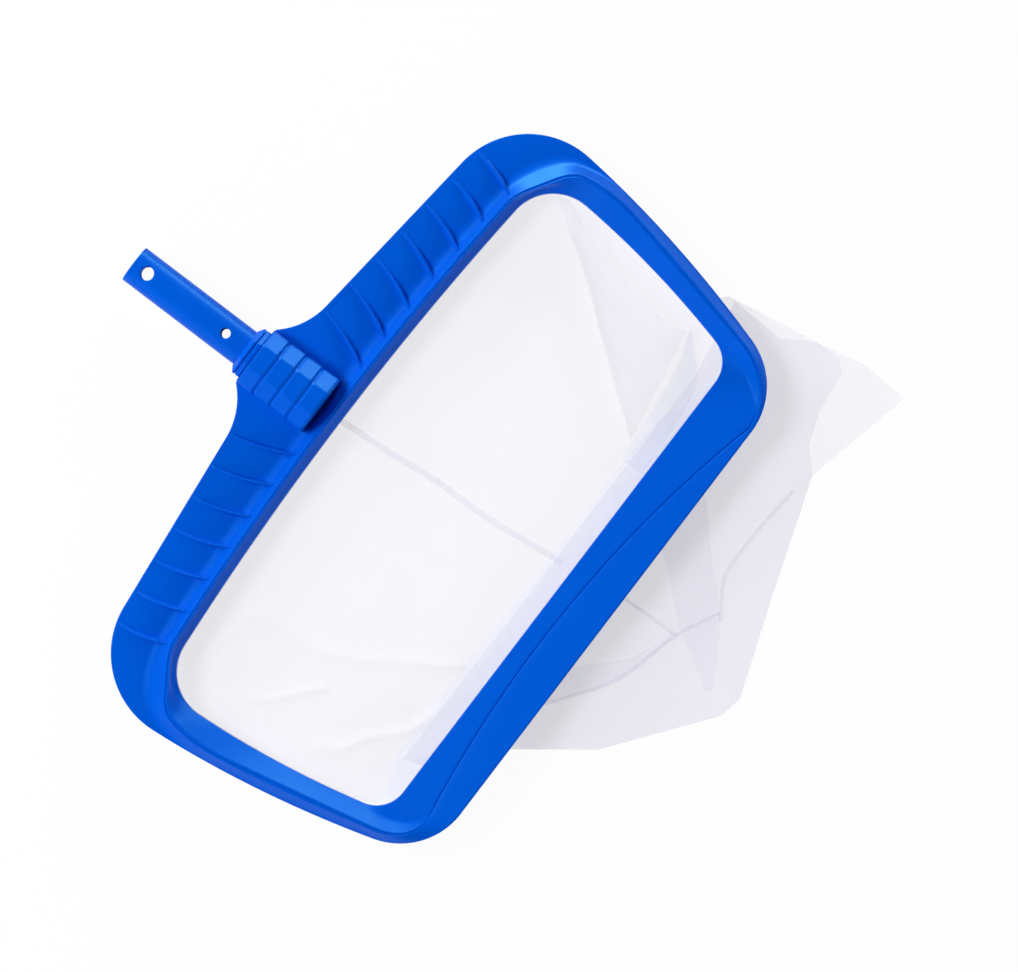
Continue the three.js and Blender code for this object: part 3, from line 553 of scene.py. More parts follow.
def top_line(sec, run):
    """Top of the section: mouth's edge, inner knee, crest from and to, foot of the slope, outline. Each is
    a distance and a height, and lip, sides and rear are blended by the stations' weights."""
    span = run.span
    wing_z = sec.bag_room + sec.wing_height
    crest_z = sec.bag_room + sec.crest_height
    edge_z = sec.bag_room + sec.edge_height
    swing = np.minimum(1, run.along / sec.crest_swing)
    side_crest = lerp(sec.side_crest_in, span - sec.side_crest_out, swing)
    from_centre = (run.inner[:, 0] - sec.crease_centre) / sec.crease_reach
    crease = sec.crease_middle + sec.crease_rise * from_centre**2
    lip_crest = np.minimum(crease, span - 2 * sec.lip_bevel - 2 * sec.crease_width)
    crest_path = blend(run, sec.rear_crest_in, side_crest, lip_crest)
    width = blend(run, sec.crest_width, sec.side_crest_width, sec.crease_width)
    slope_end = crest_path + width + sec.rear_slope
    foot = blend(run, slope_end, np.minimum(slope_end, span - sec.side_rim), span - sec.lip_bevel)
    mid_corner = 4 * run.rear * run.side
    crest_in = crest_path - mid_corner * sec.corner_widening
    crest_out = crest_in + width
    crest = blend(run, crest_z, crest_z, lip_z(sec, run, crest_in) + sec.crease_height)
    wall = blend(run, sec.rear_wall_depth, side_crest * sec.side_wall_share, crest_in - sec.crease_width)
    rear_wall_z = lerp(edge_z, crest_z, sec.rear_wall_rise)
    side_wall_z = lerp(edge_z, crest_z, sec.side_wall_share)
    lip_edge_z = sec.bag_room + sec.lip_edge_height - sec.lip_edge_thickness / 4
    return sections_of([
        (0 * span, blend(run, edge_z, edge_z, sec.bag_room + sec.lip_rear_height)),
        (wall, blend(run, rear_wall_z, side_wall_z, lip_z(sec, run, wall))),
        (crest_in, crest),
        (crest_out, crest),
        (foot, blend(run, wing_z, wing_z, lip_z(sec, run, foot))),
        (span, blend(run, wing_z, wing_z, lip_edge_z)),
    ])


def height_at(line, d):
    """Height of a top line at a distance, straight between its points"""
    height = line[:, 0, 1]
    for i in range(1, line.shape[1]):
        d0, z0 = line[:, i - 1].T
        d1, z1 = line[:, i].T
        height = np.where(d > d0, lerp(z0, z1, (d - d0) / np.maximum(d1 - d0, LEAST_LENGTH)), height)
    return height


def skirt(sec, run, line):
    """Inner and outer face of the skirt that closes the hem channel"""
    foot = line[:, 4, 0]
    outside = blend(run, foot + sec.wall, foot, 2 * sec.wall + sec.channel_width)
    return outside - sec.wall, outside


def crescent(plan, handle, sec, run, line):
    """The slope's foot and the opening in front of the socket. Near the centre the slope stops at a
    parabola and drops to the clamp strip; elsewhere the four points lie out on the wing and leave room for
    a cove. On the lip the first point is the outer shoulder of the crease."""
    slot_z = sec.bag_room + sec.strip_thickness + GAP
    x = run.inner[:, 0] / plan.slot_half
    inside = (np.abs(x) < 1) & (run.rear == 1)
    front_edge = handle.socket_rear_y - handle.socket_length - run.inner[:, 1]
    near = front_edge - plan.slot_depth * np.clip(1 - x * x, 0, 1)
    foot = line[:, 4, 0]
    stop = np.minimum(foot, np.where(inside, near, foot))
    shoulder = lerp(stop, line[:, 3, 0] + sec.crease_width, run.front)
    shoulder_z = lerp(height_at(line, shoulder), lip_z(sec, run, shoulder), run.front)
    room = np.minimum(run.span - foot, COVE_ROOM) * (1 - run.front)
    clear = np.where(inside, near, foot + COVE_END * room)
    back = np.where(inside, front_edge + CRESCENT_REACH, foot + COVE_BACK * room)
    level = np.where(inside, sec.bag_room + sec.wing_height, height_at(line, back))
    return sections_of([
        (shoulder, shoulder_z),
        (clear, height_at(line, clear)),
        (clear, np.where(inside, slot_z, height_at(line, clear))),
        (back, np.where(inside, slot_z, level)),
        (back, level),
    ])


def crest_groove(sec, run, line):
    """A fine groove in the crest's flat at rear and sides: its inner edge, floor and outer edge"""
    edge_in, floor, edge_out = (lerp(line[:, 2], line[:, 3], way) for way in GROOVE_SHARES)
    sunk = np.stack([0 * run.span, sec.groove_depth * (1 - run.front)], -1)
    return np.stack([edge_in, floor - sunk, edge_out], 1)


def ring_sections(plan, handle, sec, run):
    """Closed sections of the mouth ring, wings and lip, corner by corner: over the top from the mouth to
    the outline, back under the wing, round the skirt and through the hem channel to the inner wall"""
    line = top_line(sec, run)
    skirt_in, skirt_out = skirt(sec, run, line)
    crest_in = line[:, 2, 0]
    wing_under = sec.bag_room + sec.wing_height - sec.wing_thickness
    roof_in = blend(run, crest_in, crest_in, sec.channel_width / 2)
    edge_thickness = blend(run, sec.wing_thickness, sec.wing_thickness, sec.lip_edge_thickness)
    under = blend(run, wing_under, wing_under, height_at(line, skirt_out) - sec.wall)
    headroom = height_at(line, sec.wall + 0 * run.span) - sec.wall * 2 / 3
    strip_top = sec.bag_room + sec.strip_thickness
    low = sec.bag_room + 0 * run.span
    wall_d = sec.wall + 0 * run.span
    under_part = sections_of([
        (run.span, line[:, 5, 1] - edge_thickness),
        (skirt_out, under),
        (skirt_out, low),
        (skirt_in, low),
        (skirt_in, height_at(line, skirt_in) - sec.wall),
        (roof_in, height_at(line, roof_in) - sec.wall),
        (wall_d, blend(run, strip_top + GAP, headroom, headroom)),
        (wall_d, low),
        (0 * run.span, low),
    ])
    slot_part = crescent(plan, handle, sec, run, line)
    groove = crest_groove(sec, run, line)
    return np.concatenate([line[:, :3], groove, line[:, 3:4], slot_part, line[:, 5:], under_part], 1)


GUSSET_STEPS = 40
GUSSET_COVE = 1.1 * MM
GUSSET_ROUND = 0.45 * MM
GUSSET_RAMP = 0.6 * MM
# Where the middle of a rounding lies, and points of the ramp's hollow as shares of its width and its height
MID_ROUND = 0.3
RAMP_HOLLOW = ((0.12, 0.35), (0.42, 0.74))


def gusset_patches(plan, sec, index, hand):
    """One gusset: a section carried along a parabola from the wing's rim to the ring. Its outer face stands
    upright on a small cove, its top is round, and on the socket side a hollow ramp runs out to the wing."""
    wing_z = sec.bag_room + sec.wing_height
    crest_z = sec.bag_room + sec.crest_height
    thick = plan.gusset_thickness
    rim_x = plan.gusset_rim_x + index * plan.gusset_rim_pitch
    root_x = plan.gusset_root_x + index * plan.gusset_root_pitch
    root_reach = sec.rear_crest_in + sec.crest_width + sec.rear_slope / 3
    rim_y = float(rim_line(plan)["edge"](rim_x)) - thick - index * plan.gusset_setback
    start = np.array([rim_x, rim_y])
    end = np.array([root_x, float(mouth_line(plan)["edge"](root_x)) + root_reach])
    middle = (start + end) / 2 + [plan.gusset_bulge, 0]
    f = np.linspace(0, 1, GUSSET_STEPS)[:, None]
    path = parabola(start, middle, end, f)
    along = unit(2 * (1 - f) * (middle - start) + 2 * f * (end - middle))
    inwards = np.stack([along[:, 1], -along[:, 0]], -1)
    top = lerp(wing_z + thick / 4, crest_z - sec.rear_slope / 2, f[:, 0])
    rise = top - wing_z
    cove = np.minimum(GUSSET_COVE, 0.5 * rise)
    ramp = 0.5 * plan.gusset_foot * f[:, 0] + GUSSET_RAMP
    round_top = np.minimum(GUSSET_ROUND, 0.5 * rise)
    low = wing_z - sec.wing_thickness / 2
    left = 0 * top - thick / 2
    right = 0 * top + thick / 2
    level = 0 * top + wing_z
    under = 0 * top + low
    section = sections_of([
        (left - cove, under),
        (left - cove, level),
        (left - MID_ROUND * cove, wing_z + MID_ROUND * cove),
        (left, wing_z + cove),
        (left, top - round_top),
        (left + MID_ROUND * round_top, top - MID_ROUND * round_top),
        (left + round_top, top),
        (right - round_top, top),
        (right - MID_ROUND * round_top, top - MID_ROUND * round_top),
        *((right + way * ramp, top - fall * rise) for way, fall in RAMP_HOLLOW),
        (right + ramp, level),
        (right + ramp, under),
    ])
    spots = path[:, None] + inwards[:, None] * section[..., :1]
    return capped(raised(spots * [hand, 1], section[..., 1]))


# Handle

SOCKET_STEPS = 7
SOCKET_RADII = MM * np.array([0.2, 1.6, 1.6, 1.6, 1.6, 0.2])
END_WALL_BORE = 0.4 * MM
BORE_STEP = 0.01 * MM
CRADLE_EDGE = 0.8 * MM
CRADLE_DRAFT = 0.5 * MM
# Half a side of an octagon whose flats lie 1 from its middle
HALF_SIDE = math.tan(math.pi / 8)


def octagon_half(flats, bores, lower):
    """Half of the eight-sided socket for each ring: a rounded outer line from the right side over to the
    left and a bore line under it, both with the same number of points. A lower half is the mirror image."""
    corner = flats * HALF_SIDE
    seat = np.full_like(flats, GAP / 2)
    right = [(flats, seat), (flats, corner), (corner, flats)]
    left = [(-x, z) for x, z in reversed(right)]
    outer = rounded(sections_of(right + left), SOCKET_RADII, SOCKET_STEPS)
    inner = circle(np.arctan2(outer[..., 1], outer[..., 0])) * bores[:, None, None]
    inner[..., 1] = np.maximum(inner[..., 1], GAP / 2)
    loop = np.concatenate([outer, inner[:, ::-1]], 1)
    return loop * [1, -1] if lower else loop


def along_axis(loops, y, axis_z):
    """Sections of x and height over the axis as points along the spigot"""
    depth = np.broadcast_to(y[:, None, None], loops.shape[:2] + (1,))
    return np.concatenate([loops[..., :1], depth, loops[..., 1:] + axis_z], -1)


def strip_cap(count, first):
    """Quads that close the end of a section that runs out and back"""
    j = np.arange(count // 2 - 1)
    return first + np.stack([j, j + 1, count - 2 - j, count - 1 - j], -1)


def socket_half(handle, flats, y, lower):
    """One half of the socket: rings along the spigot, a bore that stops at the end wall, and closed ends"""
    bore = handle.tube_diameter / 2 + GAP
    bores = np.where(y > handle.tube_seat_y - GAP, bore, END_WALL_BORE)
    loops = octagon_half(flats, bores, lower)
    sides, faces = surface(along_axis(loops, y, handle.socket_flat), closed_columns=True)
    count = loops.shape[1]
    ends = np.vstack([strip_cap(count, 0), strip_cap(count, (len(y) - 1) * count)])
    return [(sides, np.vstack([faces, ends]))]


def socket_front_y(handle):
    """Y of the socket's front end"""
    return handle.socket_rear_y - handle.socket_length


def socket_rows(handle, extra):
    """Y of the socket's rings from rear to front, with a doubled ring where the bore stops"""
    seat = handle.tube_seat_y - GAP
    ends = [handle.socket_rear_y, socket_front_y(handle), seat + BORE_STEP, seat - BORE_STEP]
    return np.unique(np.concatenate([extra, ends]))[::-1]


def cradle_patches(handle):
    """Lower half of the socket, plain eight-sided, with slightly drawn-in ends"""
    front = socket_front_y(handle)
    y = socket_rows(handle, np.array([handle.socket_rear_y - CRADLE_EDGE, front + CRADLE_EDGE]))
    from_end = np.minimum(handle.socket_rear_y - y, y - front)
    flats = handle.socket_flat - CRADLE_DRAFT * np.clip(1 - from_end / CRADLE_EDGE, 0, 1)
    return socket_half(handle, flats, y, lower=True)


# Ridges of the cover: rings to a ridge, a groove's width as a share of a ridge, and the depth at the ends
# and along a ridge as shares of a groove's depth
RIDGE_STEPS = 20
RIDGE_GROOVE = 0.085
RIDGE_END = 0.4
RIDGE_FALL = 0.35
LEAST_STEP = 1e-6


def cover_patches(handle):
    """Upper half of the socket: each ridge falls a little from a bell-shaped groove to the next one"""
    rear, front = handle.socket_rear_y, socket_front_y(handle)
    steps = np.linspace(0, 1, RIDGE_STEPS * handle.ridge_count + 1)
    y = socket_rows(handle, lerp(rear, front, steps))
    pitch = handle.socket_length / handle.ridge_count
    way = np.clip((rear - y) / pitch, 0, handle.ridge_count - LEAST_STEP) % 1
    groove = np.exp(-((np.minimum(way, 1 - way) / RIDGE_GROOVE) ** 2))
    at_end = (y > rear - LEAST_STEP) | (y < front + LEAST_STEP)
    depth = np.maximum(np.where(at_end, RIDGE_END, groove), RIDGE_FALL * (1 - way))
    return socket_half(handle, handle.socket_flat - handle.ridge_depth * depth, y, lower=False)


def circle_like(ring, radius):
    """A circle whose points lie at the same turns as a ring's points"""
    return radius * circle(np.arctan2(ring[:, 1], ring[:, 0]))


COLLAR_RADII = MM * np.full(8, 1.0)
COLLAR_STEPS = 5
# Shares of the collar's length and of its wall
COLLAR_PROFILE = (
    (0, 0.96), (0.04, 0.99), (0.1, 1), (0.34, 1), (0.38, 0.96), (0.41, 0.78), (0.48, 0.78),
    (0.51, 0.96), (0.55, 1), (0.64, 1), (0.69, 0.94), (0.96, 0.26), (1, 0.2),
)


def octagon_ring(flat):
    """Whole rounded octagon"""
    ahead = circle(np.arange(8) * math.pi / 4)
    beside = np.stack([-ahead[:, 1], ahead[:, 0]], -1)
    corners = flat * ahead + flat * HALF_SIDE * beside
    return rounded(corners[None], COLLAR_RADII, COLLAR_STEPS)[0]


def collar_patches(handle):
    """Collar: octagons whose wall follows the stepped profile along its length, closed by a round bore"""
    radius = handle.tube_diameter / 2
    start = handle.socket_rear_y + GAP
    rings = [octagon_ring(radius + handle.collar_wall * wall) for _, wall in COLLAR_PROFILE]
    y = [start + along * handle.collar_length for along, _ in COLLAR_PROFILE]
    bore = circle_like(rings[0], radius + GAP)
    loops = np.stack(rings + [bore, bore])
    points = along_axis(loops, np.array(y + [y[-1], y[0]]), handle.socket_flat)
    return [surface(points, True, True)]


# Half width and steps of the square block round a cross hole, steps of the spigot's side and of a hole's
# surround, the rounding of its edges and two more rings on its wall
TUBE_BLOCK = 8 * MM
BLOCK_STEPS = 16
SIDE_STEPS = 25
HOLE_STEPS = 7
TUBE_EDGE = 0.5 * MM
WALL_RINGS = [0.0, 30 * MM]


def tube_columns(radius):
    """Points round the spigot, with a straight block of steps over and under the axis for the holes"""
    across = np.linspace(TUBE_BLOCK, -TUBE_BLOCK, BLOCK_STEPS + 1)[:, None] * np.ones_like(radius)
    top = np.stack([across, np.sqrt(radius**2 - across**2)], -1)
    turn = np.arcsin(TUBE_BLOCK / radius)
    steps = np.linspace(0, 1, SIDE_STEPS + 1)[1:-1, None]
    left = radius[:, None] * circle(lerp(math.pi / 2 + turn, 3 * math.pi / 2 - turn, steps))
    return np.swapaxes(np.concatenate([top, left, -top, -left]), 0, 1)


def hole_patch(handle, centre, hole, side):
    """Wall round one cross hole. Rings of points run from the square block on the outer face in to the
    hole's circle and its small chamfer, through the wall, and out to the block on the inner face."""
    outer = handle.tube_diameter / 2
    inner = outer - handle.tube_wall
    s = np.linspace(-1, 1, BLOCK_STEPS + 1)[:-1]
    one = np.ones_like(s)
    edges = ((s, -one), (one, s), (-s, one), (-one, -s))
    block = TUBE_BLOCK * np.concatenate([np.stack(edge, -1) for edge in edges])
    mouth = circle_like(block, hole)

    def lifted(plan, radius, sink):
        height = np.sqrt(radius**2 - plan[..., 0] ** 2) - sink
        return np.stack([plan[..., 0], plan[..., 1] + centre, side * height + handle.socket_flat], -1)

    way = np.linspace(0, 1, HOLE_STEPS)[:, None, None]
    outside = lifted(lerp(block, circle_like(block, hole + TUBE_EDGE), way), outer, 0)
    edge = lifted(mouth[None], outer, TUBE_EDGE)
    inside = lifted(lerp(mouth, block, way), inner, 0)
    return surface(np.concatenate([outside, edge, inside]), closed_columns=True)


def tube_patches(handle):
    """Spigot: one turned profile of outer wall, rounded free end, bore and seat end, with the blocks round
    the four hole mouths left out and filled by the hole patches"""
    outer = handle.tube_diameter / 2
    inner = outer - handle.tube_wall
    end, seat, edge = handle.tube_end_y, handle.tube_seat_y, TUBE_EDGE
    holes = {end - handle.button_inset: handle.button_hole / 2, end - handle.pin_inset: handle.pin_hole / 2}
    blocks = [np.linspace(c - TUBE_BLOCK, c + TUBE_BLOCK, BLOCK_STEPS + 1) for c in holes]
    wall = np.unique(np.concatenate([[seat + edge, *WALL_RINGS, end - 2 * edge, end - edge], *blocks]))
    end_y = [end - edge / 3, end, end, end - edge / 3]
    end_radius = [outer - 0.3 * edge, outer - edge, inner + edge, inner + 0.3 * edge]
    seat_radius = [inner + edge, outer - edge]
    y = np.concatenate([wall, end_y, wall[::-1], [seat, seat]])
    outer_wall = np.full(len(wall), outer)
    inner_wall = np.full(len(wall), inner)
    radius = np.concatenate([outer_wall, end_radius, inner_wall, seat_radius])
    points = along_axis(tube_columns(radius), y, handle.socket_flat)
    rows, columns = points.shape[:2]
    faces = grid_faces(rows, columns, True, True).reshape(rows, columns, 4)
    middle_y = (y + np.roll(y, -1)) / 2
    is_wall = (radius == np.roll(radius, -1)) & ((radius == outer) | (radius == inner))
    in_block = np.arange(columns) % (columns // 2) < BLOCK_STEPS
    keep = np.ones((rows, columns), bool)
    for centre in holes:
        beside_hole = is_wall & (np.abs(middle_y - centre) < TUBE_BLOCK)
        keep &= ~(beside_hole[:, None] & in_block)
    patches = [(points.reshape(-1, 3), faces[keep])]
    for centre, hole in holes.items():
        patches += [hole_patch(handle, centre, hole, side) for side in (1, -1)]
    return patches


# Screws

TURNS = np.linspace(0, 2 * math.pi, 40, endpoint=False)
# Shares of the head's radius where its crown has rings, and of the head's sizes
CROWN = np.linspace(0.02, 1, 18)
CROWN_RISE = 0.35
HEAD_EDGE = 0.15
HEAD_TOP = 0.96
RECESS_BAR = 0.16
RECESS_REACH = 0.6
RECESS_RUN = 0.2
RECESS_DEPTH = 0.55
POCKET_LOW = -1 * MM


def screw_kinds(sec, handle):
    """Pieces of screws: the nodes, the head's radius, the shank's radius and the head's height"""
    clamps = [f"clamp_screw_{i:02d}" for i in range(1, 13)]
    covers = [f"cover_screw_{i}" for i in range(1, 5)]
    lock = ["tube_lock_screw"]
    return {
        "clamp_screws": (clamps, sec.clamp_head, sec.clamp_shank, sec.clamp_head_height),
        "cover_screws": (covers, handle.cover_head, handle.cover_shank, handle.cover_head_height),
        "spigot_lock_screw": (lock, handle.lock_head, handle.lock_shank, handle.lock_head_height),
    }


def screw_place(node):
    """Plan place, lowest and highest point of a screw's node"""
    low, high = (np.array(corner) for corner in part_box(node))
    return (low + high)[:2] / 2, low[2], high[2]


def screw_patches(node, head, shank, head_height):
    """A pan-head screw from below: rings of a turned profile, with a cross recess sunk into the head by how
    near a point lies to two crossing bars"""
    place, low, tip = screw_place(node)
    top = low + head_height
    profile = [*zip(head * CROWN, low + CROWN_RISE * head_height * CROWN**3)]
    profile += [(head, top - HEAD_EDGE * head_height), (HEAD_TOP * head, top), (shank, top)]
    profile += [(shank, tip - shank), (CROWN[0] * shank, tip)]
    radius, z = np.array(profile).T
    spots = radius[:, None, None] * circle(TURNS)
    bar = RECESS_BAR * head
    depth = np.clip((bar - np.abs(spots).min(-1)) / (0.5 * bar), 0, 1)
    depth *= np.clip((RECESS_REACH * head - radius[:, None]) / (RECESS_RUN * head), 0, 1)
    depth[len(CROWN) :] = 0
    return capped(raised(spots + place, z[:, None] + RECESS_DEPTH * head_height * depth))


def pocket_patches(sec, handle):
    """Posts that cut the pockets under the socket, one for the head of each screw there"""
    patches = []
    for kind in ("cover_screws", "spigot_lock_screw"):
        nodes, head, _, head_height = screw_kinds(sec, handle)[kind]
        for node in nodes:
            place, low, _ = screw_place(node)
            ring = place + (head + GAP) * circle(TURNS)
            heights = (POCKET_LOW, low + head_height + GAP)
            patches += capped(np.stack([raised(ring, np.full(len(ring), z)) for z in heights]))
    return patches


def cut_patches(body, cutters):
    """Closed patches with other closed patches cut out of them, as one patch of triangles"""
    piece = put_mesh("body", body)
    tool = put_mesh("cutter", cutters)
    cut = piece.modifiers.new("cut", "BOOLEAN")
    cut.operation = "DIFFERENCE"
    cut.solver = "EXACT"
    cut.object = tool
    solid = piece.evaluated_get(bpy.context.evaluated_depsgraph_get())
    mesh = solid.to_mesh()
    mesh.calc_loop_triangles()
    points = np.empty(3 * len(mesh.vertices))
    mesh.vertices.foreach_get("co", points)
    triangles = np.empty(3 * len(mesh.loop_triangles), dtype=np.int32)
    mesh.loop_triangles.foreach_get("vertices", triangles)
    solid.to_mesh_clear()
    for made in (piece, tool):
        bpy.data.meshes.remove(made.data)
    return points.reshape(-1, 3), triangles.reshape(-1, 3)


# Materials

GLOSS_TINT = linear("#66E0FF")


def add(tree, kind, inputs=None, **settings):
    """Adds one node. Settings are its properties; inputs are values, or pairs of a node and its output."""
    made = tree.nodes.new(kind)
    for name, value in settings.items():
        setattr(made, name, value)
    for name, value in (inputs or {}).items():
        socket = made.inputs[name]
        if isinstance(value, tuple) and isinstance(value[0], bpy.types.Node):
            tree.links.new(value[0].outputs[value[1]], socket)
        else:
            socket.default_value = value
    return made


def new_material(name):
    """An empty node material and its nodes"""
    material = bpy.data.materials.new(name)
    material.use_nodes = True
    material.node_tree.nodes.clear()
    return material, material.node_tree


def noise(tree, place, size, detail=3):
    """Noise with spots of a size"""
    inputs = {"Vector": (place, "Object"), "Scale": 1 / size, "Detail": detail}
    return add(tree, "ShaderNodeTexNoise", inputs)


def mottled(tree, spots, first, second):
    """A colour that changes from a first to a second one by a noise"""
    return add(tree, "ShaderNodeMix", {
        "Factor": (spots, "Fac"), 6: (*first, 1), 7: (*second, 1),
    }, data_type="RGBA")


def finish_material(tree, inputs):
    """Adds the shader with its inputs and the material's output"""
    shader = add(tree, "ShaderNodeBsdfPrincipled", inputs)
    add(tree, "ShaderNodeOutputMaterial", {"Surface": (shader, "BSDF")})


def moulded_plastic(colours):
    """Injection-moulded polypropylene, dyed through: a soft gloss that a faint orange peel breaks up, and a
    slightly deeper tone where the melt ran thicker"""
    material, tree = new_material("moulded blue polypropylene")
    place = add(tree, "ShaderNodeTexCoord")
    flow = noise(tree, place, 45 * MM)
    peel = noise(tree, place, 2.4 * MM, 2)
    tone = mottled(tree, flow, colours.plastic, colours.plastic_deep)
    gloss = add(tree, "ShaderNodeMapRange", {"Value": (flow, "Fac"), "To Min": 0.3, "To Max": 0.36})
    bump = add(tree, "ShaderNodeBump", {"Height": (peel, "Fac"), "Strength": 0.03, "Distance": 0.05 * MM})
    finish_material(tree, {
        "Base Color": (tone, 2), "Roughness": (gloss, "Result"), "IOR": 1.49, "Normal": (bump, "Normal"),
        "Specular IOR Level": 0.06, "Specular Tint": (*GLOSS_TINT, 1),
    })
    return material


def headed_steel(colours):
    """Stainless screw steel, cold headed: plain metal with fine rolling marks"""
    material, tree = new_material("cold-headed stainless steel")
    place = add(tree, "ShaderNodeTexCoord")
    marks = noise(tree, place, 0.6 * MM)
    rough = add(tree, "ShaderNodeMapRange", {"Value": (marks, "Fac"), "To Min": 0.24, "To Max": 0.42})
    finish_material(tree, {"Base Color": (*colours.steel, 1), "Metallic": 1, "Roughness": (rough, "Result")})
    return material


# Kinds of mesh: the material's name, its colour, and how much threads and gaps between them cover
CLOTHS = {
    "net": ("heat-set polyester mesh", "mesh", 0.28, 0.14),
    "band": ("woven polyester hem", "hem", 0.26, 0.18),
    "tape": ("felled seam tape", "seam", 0.2, 0.12),
    "doubled": ("doubled polyester mesh", "fold", 0.1, 0.06),
}
WEAVE_TURN = math.radians(9)
# Share of a mesh's colour in its deeper spots
DEEPER = 0.92
# Length of a wave texture's waves at a scale of 1
WAVE_LENGTH = math.pi / 10


def woven_net(colours, thread, kind):
    """Fine polyester mesh, heat set: white threads with open squares between them, so that one layer is
    half see-through and two layers look greyer. The real threads are 0.3 mm apart; they are drawn a little
    coarser, at the thread spacing, so that they show close up and melt into a plain sheet from afar."""
    name, colour_name, cover, open_cover = CLOTHS[kind]
    tint = getattr(colours, colour_name)
    material, tree = new_material(name)
    place = add(tree, "ShaderNodeTexCoord")
    turn = add(tree, "ShaderNodeMapping", {"Vector": (place, "Object"), "Rotation": (0, 0, WEAVE_TURN)})
    bands = [
        add(tree, "ShaderNodeTexWave", {
            "Vector": (turn, "Vector"), "Scale": WAVE_LENGTH / thread, "Distortion": 0.0,
        }, wave_type="BANDS", bands_direction=direction, wave_profile="SIN")
        for direction in ("X", "Y")
    ]
    weave = add(tree, "ShaderNodeMath", {0: (bands[0], "Fac"), 1: (bands[1], "Fac")}, operation="MAXIMUM")
    tone = mottled(tree, noise(tree, place, 30 * MM), tint, [DEEPER * value for value in tint])
    alpha = add(tree, "ShaderNodeMapRange", {"Value": (weave, 0), "To Min": open_cover, "To Max": cover})
    bump = add(tree, "ShaderNodeBump", {"Height": (weave, 0), "Strength": 0.25, "Distance": 0.05 * MM})
    finish_material(tree, {
        "Base Color": (tone, 2), "Roughness": 0.75, "Alpha": (alpha, "Result"), "Normal": (bump, "Normal"),
        "Sheen Weight": 0.15, "Specular IOR Level": 0.1,
    })
    return material


# Bag

# Routes on the plan in millimetres, from the lip's leading edge: the tail's outlines from left to right.
# The lower panel's corner reaches past the upper panel on the right.
TAIL_OUTLINE = (
    (-158, 30.6), (-116, 1.6), (-76, -51.4), (-4, -106.4), (14, -110.4), (89, -83.4), (174, -54.4),
    (258, -73.4), (260, -36.4), (252, 1.6), (238, 24.6),
)
UPPER_CORNER = ((190, -39), (215, -30), (245, -27), (253, -18))
UPPER_OUTLINE = (*TAIL_OUTLINE[:7], *UPPER_CORNER, *TAIL_OUTLINE[-2:], (240, 66))
LEFT_CORNER = (-196, 34.6)
RIGHT_CORNER = (240, 71.6)
# Wrinkles of the lower panel: route, height and width
WRINKLES = (
    (((-176, 213), (-147, 204), (-142, 188), (-141, 160), (-131, 130), (-110, 97), (-89, 65)), 2.4, 3.4),
    (((-176, 213), (-191, 214), (-210, 197), (-214, 170)), 2.0, 3.4),
    (((-202, 177), (-192, 160), (-170, 142), (-159, 132)), 2.0, 3.2),
    (((-196, 110), (-187, 96), (-169, 86), (-150, 67), (-122, 56)), 2.0, 3.4),
    (((222, 205), (216, 182), (203, 137), (198, 97), (202, 79)), 2.6, 6),
    (((207, 190), (185, 157), (156, 120), (115, 65)), 1.6, 3.4),
)
# Felled seams
FLOOR_SEAM = ((0, 240), (3, 196), (7, 158), (8, 114), (15, 52))
TAIL_SEAMS = (
    ((21, 2), (22, -7), (23, -46)),
    ((-75, 2), (-63, -8), (-26, -32), (23, -46), (55, -61)),
    ((156, -50), (118, -47), (80, -48), (50, -65)),
)
# Places where the cloth lies double, each between two routes
SIDE_FOLD = (
    ((222, 213), (207, 190), (185, 157), (156, 120), (115, 65)),
    ((226, 205), (216, 182), (203, 137), (198, 97), (201, 80)),
)
TAIL_FOLD = (
    ((66, 2), (59, -10), (30, -44), (4, -87)),
    ((118, 2), (109, -9), (79, -36), (50, -65), (7, -91)),
)
BOTTOM_FOLD = (
    ((-75, 2), (-63, -8), (-26, -32), (23, -46)),
    ((-40, 2), (-33, -7), (-8, -30), (26, -43)),
)
# The hem's loose pointed end on the right, and how far the hem lies inwards along the lip: x and reach
HEM_POINT = (((100, 62), (167, 69), (204, 79)), ((100, 44), (170, 50), (203, 77)))
HEM_REACH = ((-190, 10), (-160, 21), (-78, 20), (15, 18), (96, 18), (135, 17), (165, 7), (185, 3))
# How far along the sides the lower panel reaches under the ring on the left and on the right
FLOOR_REACH = (0.9, 0.75)
FLOOR_COLUMNS = 640
FLOOR_ROWS = 90
FLOOR_MIDDLE = np.array([20, -190]) * MM
FLOOR_LIFT = 0.3 * MM
# Slow waves of the panels: a seed, the distance from wave to wave and their height
FLOOR_WAVES = ((5, 60 * MM, 0.8 * MM), (8, 22 * MM, 0.35 * MM))
UPPER_WAVES = ((21, 70 * MM, 1.0 * MM), (4, 26 * MM, 0.5 * MM))
WAVE_COUNT = 7
WAVE_RANGE = (0.6, 1.7)
UPPER_COLUMNS = 300
UPPER_ROWS = 120
# To lay a layer on the upper panel, every third of its points is looked at and the nearest four are used
UPPER_SPARSE = 3
NEAREST = 4
LEAST_GAP = 1e-12
# Where the neck's two ends lie along the lip, and the shares of the panel that stay calm at its edges
NECK_ENDS = np.array([0.1, 0.02])
CALM_NECK = 0.3
CALM_TAIL = 0.1
# Points along a route's leg, along and across folded layers, along and across seams and across the hem
LEG_STEPS = 12
FOLD_ROWS = 60
SIDE_COLUMNS = 40
TAIL_COLUMNS = 30
POINT_COLUMNS = 20
SEAM_ROWS = 90
TAIL_SEAM_ROWS = 50
SEAM_COLUMNS = 5
HEM_ROWS = 7
HEM_BULGE = 0.6 * MM
# How far seams and folded layers lie over what they rest on, and how much narrower the tail's seams are
SEAM_LIFT = 0.25 * MM
SIDE_LIFT = 0.6 * MM
TAIL_LIFT = 0.5 * MM
POINT_LIFT = 0.9 * MM
TAIL_SEAM_SHARE = 0.6


